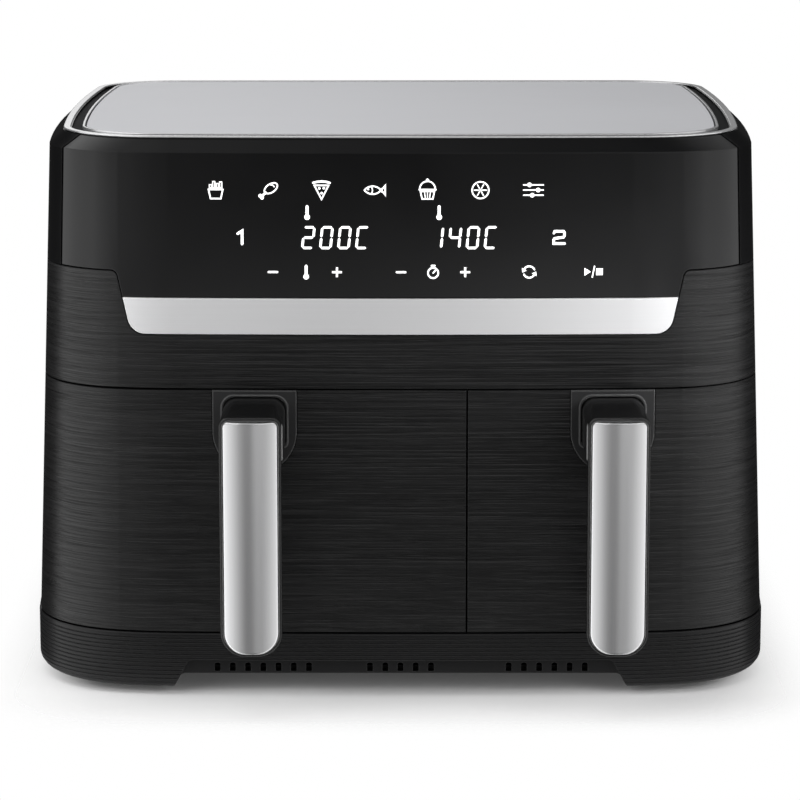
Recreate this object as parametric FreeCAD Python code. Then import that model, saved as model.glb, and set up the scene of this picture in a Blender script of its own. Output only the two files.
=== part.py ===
"""Air fryer with a wide left drawer and a narrow right drawer under one control panel.

Frame: +Z up, the front towards -Y, and the origin at the middle of the footprint on the surface
that the feet stand on. All sizes are in millimetres.
"""
import FreeCAD, Part
import math
import os
from FreeCAD import Vector

# Body in plan, at the seam under the drawers
HALF_WIDTH = 195.4
HALF_DEPTH = 204.0
FRONT_Y = -150.0
BACK_Y = 193.0
FRONT_BOW_RADIUS = 2900.0
FRONT_EASE_X = 118.0
FRONT_EASE_RADIUS = 150.0
FRONT_CORNER_RADIUS = 59.0
TOP_CORNER_RADIUS = 71.0
SIDE_BOW_RADIUS = 1700.0
SIDE_BOW_Y = 35.0
BACK_CORNER_RADIUS = 61.0
DRAFT = 0.037
WALL = 2.6

# Heights of the main levels
SKIRT_BOTTOM_Z = 3.0
FLOOR_Z = 11.0
SEAM_LOW_Z = 33.3
SEAM_HIGH_Z = 159.65
STRIP_BOTTOM_Z = 188.0
STRIP_TOP_Z = 206.3
SHOULDER_Z = 220.0
CHAMFER_Z = 280.0
RIM_Z = 286.0

# Gaps between pieces, and the chamfer on the casings' rims
SEAM = 0.55
PANEL_GAP = 1.6
STRIP_GAP = 0.5
JOIN = 0.3
EDGE = 0.45

# Top cover, as insets from the plan outline
RIM_INSET = 16.2
LIP_INSET = 17.6
LIP_HEIGHT = 0.8
RING_INNER_INSET = 20.0
RING_HEIGHT = 0.7
PLATE_RIM_INSET = 25.9
PLATE_RIM_WIDTH = 1.4
PLATE_RIM_HEIGHT = 2.1
PLATE_GAP = 0.8
PLATE_HEIGHT = 1.9
TOP_DECK_Z = 285.65
TOP_DECK_THICK = 3.6
TOP_EDGE = 0.3

# Ribbed base skirt, its raised middle with air slots, and the feet
SKIRT_PROUD = 0.8
SKIRT_ROUND_Z = 11.0
SKIRT_WALL = 3.0
SKIRT_FOOT = 16.0
RIB_COUNT = 12
RIB_PITCH = 2.15
RIB_CREST = 1.15
RIB_DEPTH = 0.65
NOTCH_HALF_LOW = 119.0
NOTCH_HALF_HIGH = 109.0
NOTCH_TOP_Z = 19.0
NOTCH_CORNER = 4.0
NOTCH_RECESS = 5.0
NOTCH_REACH = 30.0
VENT_PITCH = 7.86
VENT_WIDTH = 3.0
VENT_Z = (12.0, 16.6)
VENT_GROUPS = ((-70.8, 7), (0.0, 5), (75.5, 6))
FOOT_RADIUS = 10.0
FEET = ((-150.0, -100.0), (150.0, -100.0), (-150.0, 148.0), (150.0, 148.0))
POST_RADIUS = 5.5
POST_INSET = 20.0
POST_ROWS_Y = (-40.0, 100.0)
SCREW_RADIUS = 2.0
SCREW_HEAD_RADIUS = 4.0
SCREW_HEAD = 2.4
SCREW_TIP_Z = 28.0

# Control panel outline, half widths seen from the front
PANEL_HALF = 172.7
PANEL_BACK_Y = -100.0
SHOULDER_HALF = 144.1
SHOULDER_CORNER = 4.0
STRIP_HALF_LOW = 136.9
STRIP_CORNER = 9.0
STRIP_PROUD = 0.4
STRIP_THICK = 2.4
CARRIER_HALF = 125.0
CARRIER_Z = (190.0, 276.0)
DISPLAY_X = ((-53.0, -13.0), (18.0, 53.0))
DISPLAY_Z = (228.0, 248.0)
DISPLAY_FRONT_Y = -137.6
BOARD_Y = -131.0
BOARD_THICK = 1.6
BOARD_HALF = 105.0
BOARD_Z = (211.0, 273.0)

# Back wall
GRILLE_HALF = 96.0
GRILLE_Z = (153.0, 200.0)
GRILLE_FLANGE = 5.0
GRILLE_BAR_HALF = 5.0
GRILLE_MARGIN = 6.0
GRILLE_ROWS = 6
GRILLE_SLOT = 4.0
GLAND_X = 122.0
GLAND_Z = 62.0
GLAND_RADIUS = 6.8
GLAND_FLANGE = 10.0
GLAND_BACK_Y = 195.0
LEAD_RADIUS = 3.6
SPACER_X = 60.0
SPACER_HALF = 9.0
SPACER_Z = (60.0, 100.0)
REAR_Y = 150.0

# Drawers and the bays that they slide into
DRAWER_SEAM_X = 33.9
SIDE_SEAM_Y = -84.0
FASCIA_LEDGE_Y = -112.0
LINER_Y = -122.0
LINER_THICK = 2.5
BOWL_FRONT_Y = -118.5
BOWL_BACK_Y = 131.0
BOWL_BOTTOM_Z = 44.0
BOWL_RIM_Z = 156.0
BOWL_WALL = 1.2
BOWL_TAPER = 5.0
BOWL_CORNER = 32.0
BOWL_FOOT_RADIUS = 11.0
RIM_FLANGE = 4.0
RIM_THICK = 2.5
BRACKET_HALF = 34.0
BRACKET_CHEEK = 8.0
BRACKET_WEB = 2.0
BRACKET_Z = (70.0, 130.0)
CAVITY_GAP = 3.0
CAVITY_FLOOR_Z = 39.8
CAVITY_ROOF_Z = 172.0
CAVITY_BACK_Y = 140.0
CAVITY_VENT = 8.0
CAVITY_VENT_PITCH = 13.0
CAVITY_VENT_Z = (158.0, 166.0)
SHEET = 0.8
RAIL_THICK = 3.0
BAY_FRAME_Y = (-83.0, -80.4)
BAY_FRAME_TOP_Z = 178.0
SENSOR_OFFSET = 5.4
SENSOR_HALF = 2.6
SENSOR_DEPTH = 14.0
SENSOR_Z = (116.0, 134.0)

# Crisper plates
CRISPER_Z = 55.0
CRISPER_THICK = 3.0
CRISPER_CLEAR = 2.5
CRISPER_DISH = 5.0
CRISPER_SLOT = (20.0, 4.0)
CRISPER_SLOT_PITCH = (27.0, 10.0)
CRISPER_MARGIN = 22.0
BUMPER_RADIUS = 4.5
BUMPER_INSET = 34.0

# Handles
HANDLE_HALF = 15.4
HANDLE_Z = (34.4, 155.7)
HANDLE_ROUND_LOW = 12.5
HANDLE_ROUND_HIGH = 4.6
HANDLE_DEPTH = 16.0
HANDLE_RIM = 1.6
HANDLE_RIM_Y = -200.9
COVER_SEAT_Y = -198.6
COVER_RADIUS = 31.0
COVER_GAP = 0.26
COVER_EDGE = 0.8
NECK_HALF = 15.8
NECK_Z = (131.0, 155.7)
SHIELD_HALF = 21.4
SHIELD_ROUND_Z = 138.0
SHIELD_THICK = 1.2
SHIELD_PROUD = 0.6
COLLAR_WIDTH = 0.9
COLLAR_PROUD = 0.5
HANDLE_SCREW_X = 9.0
HANDLE_SCREW_Z = 144.0
HANDLE_SCREW_REACH = 14.0
LINER_SCREW_X = 18.0
LINER_SCREW_Z = (84.0, 116.0)

# Heater, fan and motor stack
DOME_TOP_Z = 204.0
DOME_FLANGE = 4.0
GUARD_THICK = 2.0
GUARD_RING_PITCH = 11.0
GUARD_WIRE = 1.8
HEATER_Z = 178.5
HEATER_RADIUS = 3.2
HEATER_MARGIN = 8.0
HEATER_BEND = 7.0
HEATER_START_DEG = 125.0
HEATER_SWEEP_DEG = 290.0
DECK_Z = (205.0, 207.0)
DECK_Y = (-118.0, 138.0)
DECK_LEGS_X = (-166.0, 166.0)
DECK_LEGS_Y = (-70.0, 126.0)
SHAFT_RADIUS = 3.0
SHAFT_BOTTOM_Z = 186.0
SHAFT_ABOVE = 14.0
RUNNING = 0.04
PRESS = 0.02
BUSH_RADIUS = 6.0
BUSH_LENGTH = 6.0
MOTOR_HEIGHT = 38.0
MOTOR_FLANGE = 5.0
ROTOR_WALL = 12.0
ROTOR_GAP = 1.5
FAN_DISC_Z = (199.2, 200.2)
FAN_BLADE_Z = (187.5, 199.2)
FAN_BLADES = 12
COOLING_BLADES = 9
BLADE = 1.0
BLADE_LEAN_DEG = 24.0
POWER_BOARD_X = (-28.0, 64.0)
POWER_BOARD_Y = (-70.0, 84.0)
POWER_BOARD_LIFT = 7.0
DUCT_HALF = 104.0
DUCT_Z = (150.0, 203.0)
DUCT_BACK_Y = 181.0
DUCT_WALL = 1.5

STACK_Y = (BOWL_FRONT_Y + BOWL_BACK_Y) / 2
MOTOR_Z = (DECK_Z[1], DECK_Z[1] + MOTOR_HEIGHT)
FAR = 500.0


class Bay:
    """One drawer bay: its side, the middle of its bowl and the sizes that differ between the two."""

    def __init__(self, side, middle_x, rim_half, dome_radius, fan_radius, motor_radius):
        self.side = side
        self.x = middle_x
        self.rim_half = rim_half
        self.bowl_half = rim_half - RIM_FLANGE
        self.cavity_half = rim_half + CAVITY_GAP
        self.dome_radius = dome_radius
        self.fan_radius = fan_radius
        self.motor_radius = motor_radius
        self.towards_seam = 1 if middle_x < DRAWER_SEAM_X else -1

    def seam_x(self, inset=0.0):
        """X of this bay's side of the seam between the drawers, drawn in by inset."""
        return DRAWER_SEAM_X - self.towards_seam * (SEAM / 2 + inset)

    def span(self, inset=0.0):
        """X limits of what belongs to this bay, drawn in by inset at the seam."""
        edge = self.seam_x(inset)
        return (-FAR, edge) if self.towards_seam > 0 else (edge, FAR)


LEFT = Bay("left", -74.3, 96.0, 80.0, 50.0, 30.0)
RIGHT = Bay("right", 108.1, 61.0, 59.0, 33.0, 27.0)
BAYS = (LEFT, RIGHT)


# Plain shapes

def about(middle, half):
    """Limits at equal distances from a middle."""
    return (middle - half, middle + half)


def box(x, y, z):
    """Box between two limits on each axis."""
    return Part.makeBox(x[1] - x[0], y[1] - y[0], z[1] - z[0], Vector(x[0], y[0], z[0]))


def clip(shape, x=(-FAR, FAR), y=(-FAR, FAR), z=(-FAR, FAR)):
    """The share of a shape that lies between the limits."""
    return shape.common(box(x, y, z))


def disc(radius, z, x, y=STACK_Y):
    """Upright cylinder between two heights."""
    return Part.makeCylinder(radius, z[1] - z[0], Vector(x, y, z[0]))


def tube(outer, inner, z, x, y=STACK_Y):
    """Upright ring between two heights."""
    return disc(outer, z, x, y).cut(disc(inner, (z[0] - 1, z[1] + 1), x, y))


def rod(radius, y, x, z):
    """Cylinder along Y."""
    return Part.makeCylinder(radius, y[1] - y[0], Vector(x, y[0], z), Vector(0, 1, 0))


def united(shapes):
    """All the shapes as one solid."""
    return shapes[0].multiFuse(shapes[1:]).removeSplitter()


def group(shapes):
    """Separate solids kept together in one node."""
    return Part.makeCompound([solid for shape in shapes for solid in shape.Solids])


def both(make):
    """The same fixed piece in each bay, as one node."""
    return group([make(bay) for bay in BAYS])


def rounded_wire(corners, place):
    """Closed outline through (u, v, radius) corners, laid out by place(u, v)."""
    count = len(corners)
    flat = [Vector(u, v, 0) for u, v, _ in corners]
    stretches = []
    for i, (_, _, radius) in enumerate(corners):
        here = flat[i]
        back = (flat[i - 1] - here).normalize()
        ahead = (flat[(i + 1) % count] - here).normalize()
        half = back.getAngle(ahead) / 2
        if radius == 0:
            stretches.append((here,))
            continue
        reach = radius / math.tan(half)
        centre = here + (back + ahead).normalize() * (radius / math.sin(half))
        middle = centre + (here - centre).normalize() * radius
        stretches.append((here + back * reach, middle, here + ahead * reach))
    edges = []
    for i, points in enumerate(stretches):
        placed = [place(p.x, p.y) for p in points]
        if len(placed) == 3:
            edges.append(Part.Arc(*placed).toShape())
        following = stretches[(i + 1) % count][0]
        start = place(following.x, following.y)
        if placed[-1].distanceToPoint(start) > 1e-6:
            edges.append(Part.LineSegment(placed[-1], start).toShape())
    return Part.Wire(edges)


def outline(x, z, low_radius, high_radius):
    """Corners of an upright rectangle seen from the front, rounded below and above."""
    return [
        (x[0], z[0], low_radius),
        (x[1], z[0], low_radius),
        (x[1], z[1], high_radius),
        (x[0], z[1], high_radius),
    ]


def front_prism(corners, y):
    """Outline given in X and Z, extruded along Y."""
    wire = rounded_wire(corners, lambda u, v: Vector(u, y[0], v))
    return Part.Face(wire).extrude(Vector(0, y[1] - y[0], 0))


def pan_wire(x, y, radius, z):
    """Rounded rectangle in plan at height z."""
    corners = outline(x, y, radius, radius)
    return rounded_wire(corners, lambda u, v: Vector(u, v, z))


def pan_slab(x, y, radius, z):
    """Upright block with a rounded rectangle for its plan."""
    return Part.Face(pan_wire(x, y, radius, z[0])).extrude(Vector(0, 0, z[1] - z[0]))


# The drafted body that the casings are cut from

def draft_at(z):
    """How far the wall has drawn in at height z."""
    return DRAFT * (z - SEAM_LOW_Z)


def corner_at(z):
    """Radius of the front corners at height z, which grows over the chamfer."""
    rise = (z - CHAMFER_Z) / (RIM_Z - CHAMFER_Z)
    return FRONT_CORNER_RADIUS + (TOP_CORNER_RADIUS - FRONT_CORNER_RADIUS) * min(max(rise, 0.0), 1.0)


def face_y(x, z):
    """Y of the bowed front at x and height z."""
    bow = FRONT_BOW_RADIUS - draft_at(z)
    return FRONT_Y + FRONT_BOW_RADIUS - math.sqrt(bow**2 - x**2)


def circles_cross(first, first_radius, second, second_radius):
    """Where two circles in plan cross, to the right of the way from first to second."""
    way = second - first
    gap = way.Length
    along = (gap**2 + first_radius**2 - second_radius**2) / (2 * gap)
    aside = math.sqrt(first_radius**2 - along**2)
    way.normalize()
    return first + way * along + Vector(way.y, -way.x, 0) * aside


def unit(angle):
    """Direction in plan at an angle from straight ahead, turning towards +X."""
    return Vector(math.sin(angle), -math.cos(angle), 0)


def plan_centres(corner):
    """Centres of the arcs in the right half of the outline: bow, ease, front corner, side, back corner."""
    bow = Vector(0, FRONT_Y + FRONT_BOW_RADIUS, 0)
    onset = unit(math.asin(FRONT_EASE_X / FRONT_BOW_RADIUS))
    ease = bow + onset * (FRONT_BOW_RADIUS - FRONT_EASE_RADIUS)
    side = Vector(HALF_WIDTH - SIDE_BOW_RADIUS, SIDE_BOW_Y, 0)
    front = circles_cross(side, SIDE_BOW_RADIUS - corner, ease, FRONT_EASE_RADIUS - corner)
    back_y = BACK_Y - BACK_CORNER_RADIUS
    back_reach = SIDE_BOW_RADIUS - BACK_CORNER_RADIUS
    back = Vector(side.x + math.sqrt(back_reach**2 - (back_y - SIDE_BOW_Y) ** 2), back_y, 0)
    return bow, ease, front, side, back


def arc_points(centre, radius, start, end):
    """Start, middle and end of an arc between two directions from its centre."""
    return [centre + way * radius for way in (start, (start + end).normalize(), end)]


def plan_wire(z, inset):
    """Outline of the body at height z, drawn in by inset: bowed front and sides and a straight back."""
    corner = corner_at(z)
    bow, ease, front, side, back = plan_centres(corner)
    onset = (ease - bow).normalize()
    forward = (front - ease).normalize()
    ahead = (front - side).normalize()
    behind = (back - side).normalize()
    arcs = [
        arc_points(ease, FRONT_EASE_RADIUS - inset, onset, forward),
        arc_points(front, corner - inset, forward, ahead),
        arc_points(side, SIDE_BOW_RADIUS - inset, ahead, behind),
        arc_points(back, BACK_CORNER_RADIUS - inset, behind, Vector(0, 1, 0)),
    ]
    right = [[Vector(p.x, p.y, z) for p in arc] for arc in arcs]
    left = [[Vector(-p.x, p.y, z) for p in reversed(arc)] for arc in reversed(arcs)]
    edges = [Part.Arc(left[-1][-1], Vector(0, FRONT_Y + inset, z), right[0][0])]
    edges += [Part.Arc(*points) for points in right]
    edges.append(Part.LineSegment(right[-1][-1], left[0][0]))
    edges += [Part.Arc(*points) for points in left]
    return Part.Wire([e.toShape() for e in edges])


def body_loft(sections):
    """Solid through the body's outline at each (height, inset)."""
    return Part.makeLoft([plan_wire(z, inset) for z, inset in sections], True, True)


def body_slice(z, inset=0.0, edge=0.0):
    """The drafted body between two heights, drawn in by inset, with both rims chamfered by edge."""
    sections = [(z[0], inset), (z[1], inset)]
    if edge:
        sections = [
            (z[0], inset + edge),
            (z[0] + edge, inset),
            (z[1] - edge, inset),
            (z[1], inset + edge),
        ]
    return body_loft([(at, draft_at(at) + extra) for at, extra in sections])


def body_skin(z, outer=0.0, inner=WALL, edge=0.0):
    """The drafted wall between two heights, from one inset to a deeper one."""
    return body_slice(z, outer, edge).cut(body_slice((z[0] - 1, z[1] + 1), inner))


def crown_skin(z_low):
    """The upper wall from z_low to the rim: the chamfer, and a set-in lip that carries the top ring."""
    lower_break = CHAMFER_Z - WALL * math.tan(math.pi / 8)
    rim_inner = RIM_INSET + WALL * math.sqrt(2)
    outer = body_loft(
        [(z_low, draft_at(z_low)), (CHAMFER_Z, draft_at(CHAMFER_Z)), (RIM_Z, RIM_INSET)]
    )
    lip = body_loft([(RIM_Z - LIP_HEIGHT, LIP_INSET), (RIM_Z + LIP_HEIGHT, LIP_INSET)])
    inner = body_loft(
        [
            (z_low - 1, draft_at(z_low - 1) + WALL),
            (lower_break, draft_at(lower_break) + WALL),
            (RIM_Z + 2, rim_inner + 2),
        ]
    )
    return united([outer, lip]).cut(inner)


# Base

def skirt_inset(z):
    """Inset of the skirt's crests at height z, which rolls in towards the bench."""
    if z >= SKIRT_ROUND_Z:
        return -SKIRT_PROUD
    radius = SKIRT_ROUND_Z - SKIRT_BOTTOM_Z
    share = (SKIRT_ROUND_Z - z) / radius
    return radius * (1 - math.sqrt(max(0.0, 1 - share**2))) - SKIRT_PROUD


def skirt_sections():
    """(height, inset) down the skirt: a crest and a groove for each rib, then the rolled-in foot."""
    top = SEAM_LOW_Z - SEAM / 2
    sections = [(top, EDGE - SKIRT_PROUD), (top - EDGE, -SKIRT_PROUD)]
    groove = (RIB_CREST + RIB_PITCH) / 2
    for i in range(RIB_COUNT):
        z = top - 2 * EDGE - i * RIB_PITCH
        sections.append((z, skirt_inset(z)))
        sections.append((z - RIB_CREST, skirt_inset(z - RIB_CREST)))
        sections.append((z - groove, skirt_inset(z - groove) + RIB_DEPTH))
    last = sections[-1][0]
    for share in (0.3, 0.55, 0.8, 1.0):
        z = last + (SKIRT_BOTTOM_Z - last) * share
        sections.append((z, skirt_inset(z)))
    return sections


def notch(face, inward, depth, z_top):
    """Wedge-sided cut between two feet, into the front or the back of the skirt."""
    slope = (NOTCH_HALF_LOW - NOTCH_HALF_HIGH) / NOTCH_TOP_Z
    high = NOTCH_HALF_LOW - slope * z_top
    corners = [
        (-NOTCH_HALF_LOW, 0, 0),
        (NOTCH_HALF_LOW, 0, 0),
        (high, z_top, NOTCH_CORNER),
        (-high, z_top, NOTCH_CORNER),
    ]
    return front_prism(corners, sorted((face - inward * 10, face + inward * depth)))


def vent_slots(wall_back_y):
    """The groups of upright air slots in the raised middle of the skirt."""
    slots = []
    for middle, count in VENT_GROUPS:
        for i in range(count):
            x = middle + (i - (count - 1) / 2) * VENT_PITCH
            corners = outline(about(x, VENT_WIDTH / 2), VENT_Z, 0.4, 1.2)
            slots.append(front_prism(corners, (FRONT_Y, wall_back_y)))
    return group(slots)


def post_places():
    """Where the base's posts carry the two cavities."""
    return [
        (bay.x + side * (bay.rim_half - POST_INSET), y)
        for bay in BAYS
        for side in (-1, 1)
        for y in POST_ROWS_Y
    ]


def base_pan():
    """Ribbed skirt, floor, air slots at the front, foot pads below and posts for the cavities."""
    floor_top = FLOOR_Z + WALL
    recess_back = FRONT_Y + NOTCH_RECESS + 2 * WALL
    hollow = body_loft([(floor_top, SKIRT_WALL), (SEAM_LOW_Z + 1, SKIRT_WALL)])
    hollow = hollow.cut(
        box(about(0, NOTCH_HALF_LOW + 5), (-FAR, recess_back), (0, NOTCH_TOP_Z + WALL))
    )
    under = body_loft([(0, SKIRT_FOOT), (FLOOR_Z, SKIRT_FOOT)])
    pan = body_loft(skirt_sections()).cut(hollow).cut(under)
    pan = pan.cut(notch(FRONT_Y, 1, NOTCH_RECESS, NOTCH_TOP_Z))
    pan = pan.cut(notch(FRONT_Y, 1, NOTCH_REACH, FLOOR_Z))
    pan = pan.cut(notch(BACK_Y, -1, NOTCH_REACH, FLOOR_Z))
    pan = pan.cut(vent_slots(recess_back + 1))
    pads = [disc(FOOT_RADIUS + 3, (SKIRT_BOTTOM_Z, FLOOR_Z), x, y) for x, y in FEET]
    posts = [disc(POST_RADIUS, (floor_top, CAVITY_FLOOR_Z - SHEET), x, y) for x, y in post_places()]
    holes = [disc(SCREW_RADIUS, (0, SCREW_TIP_Z + 1), x, y) for x, y in post_places()]
    return united([pan] + pads + posts).cut(group(holes))


def rubber_feet():
    """Four rubber pads under the base."""
    feet = []
    for x, y in FEET:
        foot = disc(FOOT_RADIUS, (0, SKIRT_BOTTOM_Z), x, y)
        feet.append(foot.makeChamfer(EDGE, [e for e in foot.Edges if e.BoundBox.ZMax < 0.1]))
    return group(feet)


def base_screws():
    """Slotted screws that go up through the base into its posts."""
    screws = []
    for x, y in post_places():
        head_z = (FLOOR_Z - SCREW_HEAD, FLOOR_Z)
        head = disc(SCREW_HEAD_RADIUS, head_z, x, y)
        slot = box(about(x, SCREW_HEAD_RADIUS), about(y, 0.5), (0, head_z[0] + SCREW_HEAD / 2))
        shank = disc(SCREW_RADIUS - PRESS, (FLOOR_Z, SCREW_TIP_Z), x, y)
        screws.append(united([head.cut(slot), shank]))
    return group(screws)


# Casings

def panel_prism(grow, z_low):
    """The panel's outline from the front: full width above the shoulders, then a tapering tray."""
    taper = (SHOULDER_HALF - STRIP_HALF_LOW) / (SHOULDER_Z - STRIP_BOTTOM_Z)
    low = STRIP_HALF_LOW + taper * (z_low - STRIP_BOTTOM_Z) + grow
    half = SHOULDER_HALF + grow
    step = SHOULDER_Z + JOIN - grow
    low_radius = STRIP_CORNER if z_low <= STRIP_BOTTOM_Z else 0
    corners = [
        (-low, z_low - grow, low_radius),
        (low, z_low - grow, low_radius),
        (half, step, SHOULDER_CORNER),
        (FAR, step, 0),
        (FAR, RIM_Z + 5, 0),
        (-FAR, RIM_Z + 5, 0),
        (-FAR, step, 0),
        (-half, step, SHOULDER_CORNER),
    ]
    return front_prism(corners, (-FAR, PANEL_BACK_Y))


def panel_sector(gap):
    """Space in front of the panel's ends, cut square to the front corners and moved back by gap."""
    corner = plan_centres(FRONT_CORNER_RADIUS)[2]
    middle_z = (SHOULDER_Z + CHAMFER_Z) / 2
    angle = math.asin((PANEL_HALF - corner.x) / (FRONT_CORNER_RADIUS - draft_at(middle_z)))
    start = corner + unit(angle + math.pi / 2) * gap
    reach = start + unit(angle) * FAR
    right = [start, reach, Vector(reach.x, -2 * FAR, 0)]
    left = [Vector(-p.x, p.y, 0) for p in reversed(right)]
    wire = Part.makePolygon(right + left + right[:1])
    return Part.Face(wire).extrude(Vector(0, 0, FAR))


def wrap_housing():
    """Textured sleeve round the sides and back, with openings for the exhaust grille and the lead."""
    sleeve = body_skin((SEAM_LOW_Z - SEAM / 2, SHOULDER_Z - JOIN), edge=EDGE)
    sleeve = clip(sleeve, y=(SIDE_SEAM_Y, FAR))
    sleeve = sleeve.cut(box(about(0, GRILLE_HALF), (REAR_Y, FAR), GRILLE_Z))
    return sleeve.cut(rod(GLAND_RADIUS + JOIN, (REAR_Y, FAR), GLAND_X, GLAND_Z))


def front_fascia():
    """Textured band across the front above the drawers, with shoulders beside the control panel."""
    z = (SEAM_HIGH_Z + SEAM / 2, SHOULDER_Z - JOIN)
    ledge_top = z[0] + WALL
    band = clip(body_slice(z, edge=EDGE), y=(-FAR, SIDE_SEAM_Y - JOIN))
    band = band.cut(body_slice((ledge_top, z[1] + 1), WALL))
    band = band.cut(clip(body_slice((z[0] - 1, ledge_top + 1), WALL), y=(FASCIA_LEDGE_Y, FAR)))
    return band.cut(panel_prism(STRIP_GAP, STRIP_BOTTOM_Z))


def control_panel():
    """Gloss panel across the upper front: the chamfer, the face and the tray above the strip."""
    z_low = STRIP_TOP_Z + STRIP_GAP
    return crown_skin(z_low).common(panel_prism(0.0, z_low)).common(panel_sector(0.0))


def trim_strip():
    """Brushed strip that closes the tray below the panel, standing slightly proud."""
    z = (STRIP_BOTTOM_Z - 1, STRIP_TOP_Z)
    strip = body_skin(z, -STRIP_PROUD, STRIP_THICK - STRIP_PROUD, STRIP_PROUD)
    return strip.common(panel_prism(0.0, STRIP_BOTTOM_Z))


def upper_housing():
    """Smooth shell round the sides and back above the sleeve, open at the front for the panel."""
    return crown_skin(SHOULDER_Z).cut(panel_sector(PANEL_GAP))


def panel_carrier():
    """Frame behind the panel and strip, with windows for the displays and posts for the board."""
    frame = body_skin(CARRIER_Z, WALL + JOIN, 2 * WALL + JOIN)
    frame = clip(frame, x=about(0, CARRIER_HALF), y=(-FAR, PANEL_BACK_Y))
    for x in DISPLAY_X:
        frame = frame.cut(box((x[0] - 1, x[1] + 1), (-FAR, 0), (DISPLAY_Z[0] - 1, DISPLAY_Z[1] + 1)))
    posts = []
    for x in about(0, BOARD_HALF - 6):
        for z in (BOARD_Z[0] + 6, BOARD_Z[1] - 6):
            posts.append(rod(3.0, (face_y(x, z) + 1.5 * WALL, BOARD_Y), x, z))
    return united([frame] + posts)


def top_deck():
    """Plate that closes the top, with its edge bevelled to seat inside the crown."""
    inset = RIM_INSET + WALL * math.sqrt(2) + JOIN - (RIM_Z - TOP_DECK_Z)
    return body_loft([(TOP_DECK_Z - TOP_DECK_THICK, inset - TOP_DECK_THICK), (TOP_DECK_Z, inset)])


def top_ring():
    """Bright ring on the lip of the crown, with a dark gap under its outer edge."""
    low = RIM_Z + LIP_HEIGHT
    top = low + RING_HEIGHT
    outer = body_loft([(low, RIM_INSET), (top - TOP_EDGE, RIM_INSET), (top, RIM_INSET + TOP_EDGE)])
    inner = body_loft(
        [
            (low - 1, RING_INNER_INSET),
            (top - TOP_EDGE, RING_INNER_INSET),
            (top + TOP_EDGE, RING_INNER_INSET - 2 * TOP_EDGE),
        ]
    )
    return outer.cut(inner)


def top_plate_rim():
    """Thin bright edging round the top plate."""
    top = TOP_DECK_Z + PLATE_RIM_HEIGHT
    inset = PLATE_RIM_INSET
    outer = body_loft([(TOP_DECK_Z, inset), (top - TOP_EDGE, inset), (top, inset + TOP_EDGE)])
    inner = inset + PLATE_RIM_WIDTH
    return outer.cut(body_loft([(TOP_DECK_Z - 1, inner), (top + 1, inner)]))


def top_plate():
    """Grey plate on top, with a narrow gap inside its edging."""
    inset = PLATE_RIM_INSET + PLATE_RIM_WIDTH + PLATE_GAP
    top = TOP_DECK_Z + PLATE_HEIGHT
    return body_loft([(TOP_DECK_Z, inset), (top - TOP_EDGE, inset), (top, inset + TOP_EDGE)])


def rear_grille():
    """Exhaust grille in the back, slotted in two columns, with a flange inside the sleeve."""
    half = GRILLE_HALF - JOIN
    z = (GRILLE_Z[0] + JOIN, GRILLE_Z[1] - JOIN)
    flange_z = (GRILLE_Z[0] - GRILLE_FLANGE, GRILLE_Z[1] + GRILLE_FLANGE)
    face = clip(body_skin(z, 0.0, WALL + 2 * JOIN), x=about(0, half), y=(REAR_Y, FAR))
    flange = body_skin(flange_z, WALL + JOIN / 3, WALL + DUCT_WALL)
    flange = clip(flange, x=about(0, GRILLE_HALF + GRILLE_FLANGE), y=(REAR_Y, FAR))
    pitch = (z[1] - z[0] - 2 * GRILLE_MARGIN) / (GRILLE_ROWS - 1)
    slots = []
    for side in (-1, 1):
        for row in range(GRILLE_ROWS):
            middle = z[0] + GRILLE_MARGIN + row * pitch
            x = sorted((side * GRILLE_BAR_HALF, side * (half - GRILLE_MARGIN)))
            radius = GRILLE_SLOT / 2 - 0.1
            corners = outline(x, about(middle, GRILLE_SLOT / 2), radius, radius)
            slots.append(front_prism(corners, (REAR_Y, FAR)))
    return united([face, flange]).cut(group(slots))


def rear_spacers():
    """Two pads on the back that keep the exhaust off a wall."""
    pads = []
    for x in about(0, SPACER_X):
        corners = outline(about(x, SPACER_HALF), SPACER_Z, 4.0, 4.0)
        pad = front_prism(corners, (REAR_Y, HALF_DEPTH))
        pads.append(pad.cut(body_slice((SPACER_Z[0] - 5, SPACER_Z[1] + 5))))
    return group(pads)


def cord_gland():
    """Bush in the back wall where the mains lead leaves."""
    flange = rod(GLAND_FLANGE, (REAR_Y, GLAND_BACK_Y), GLAND_X, GLAND_Z)
    flange = flange.cut(body_slice(about(GLAND_Z, 2 * GLAND_FLANGE)))
    shank = rod(GLAND_RADIUS, (BACK_Y - 2 * WALL - 2, BACK_Y), GLAND_X, GLAND_Z)
    return united([flange, shank]).cut(rod(LEAD_RADIUS, (REAR_Y, FAR), GLAND_X, GLAND_Z))


# Electronics

def control_board():
    """Circuit board behind the panel."""
    return box(about(0, BOARD_HALF), (BOARD_Y, BOARD_Y + BOARD_THICK), BOARD_Z)


def display_modules():
    """The two number displays, standing on the control board."""
    return group([box(x, (DISPLAY_FRONT_Y, BOARD_Y), DISPLAY_Z) for x in DISPLAY_X])


def power_board():
    """Mains board between the motors, with its transformer, capacitor, relays and heat sink."""
    low = DECK_Z[1] + POWER_BOARD_LIFT
    top = low + BOARD_THICK
    x, y = POWER_BOARD_X[0], POWER_BOARD_Y[0]
    transformer = box((x + 8, x + 42), (y + 10, y + 46), (top, top + 24))
    capacitor = disc(9.0, (top, top + 28), x + 68, y + 24)
    relays = [box((x + at, x + at + 22), (y + 80, y + 96), (top, top + 15)) for at in (10, 42)]
    heat_sink = box((x + 8, x + 84), (y + 122, y + 130), (top, top + 22))
    board = box(POWER_BOARD_X, POWER_BOARD_Y, (low, top))
    return united([board, transformer, capacitor, heat_sink] + relays)


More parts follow.
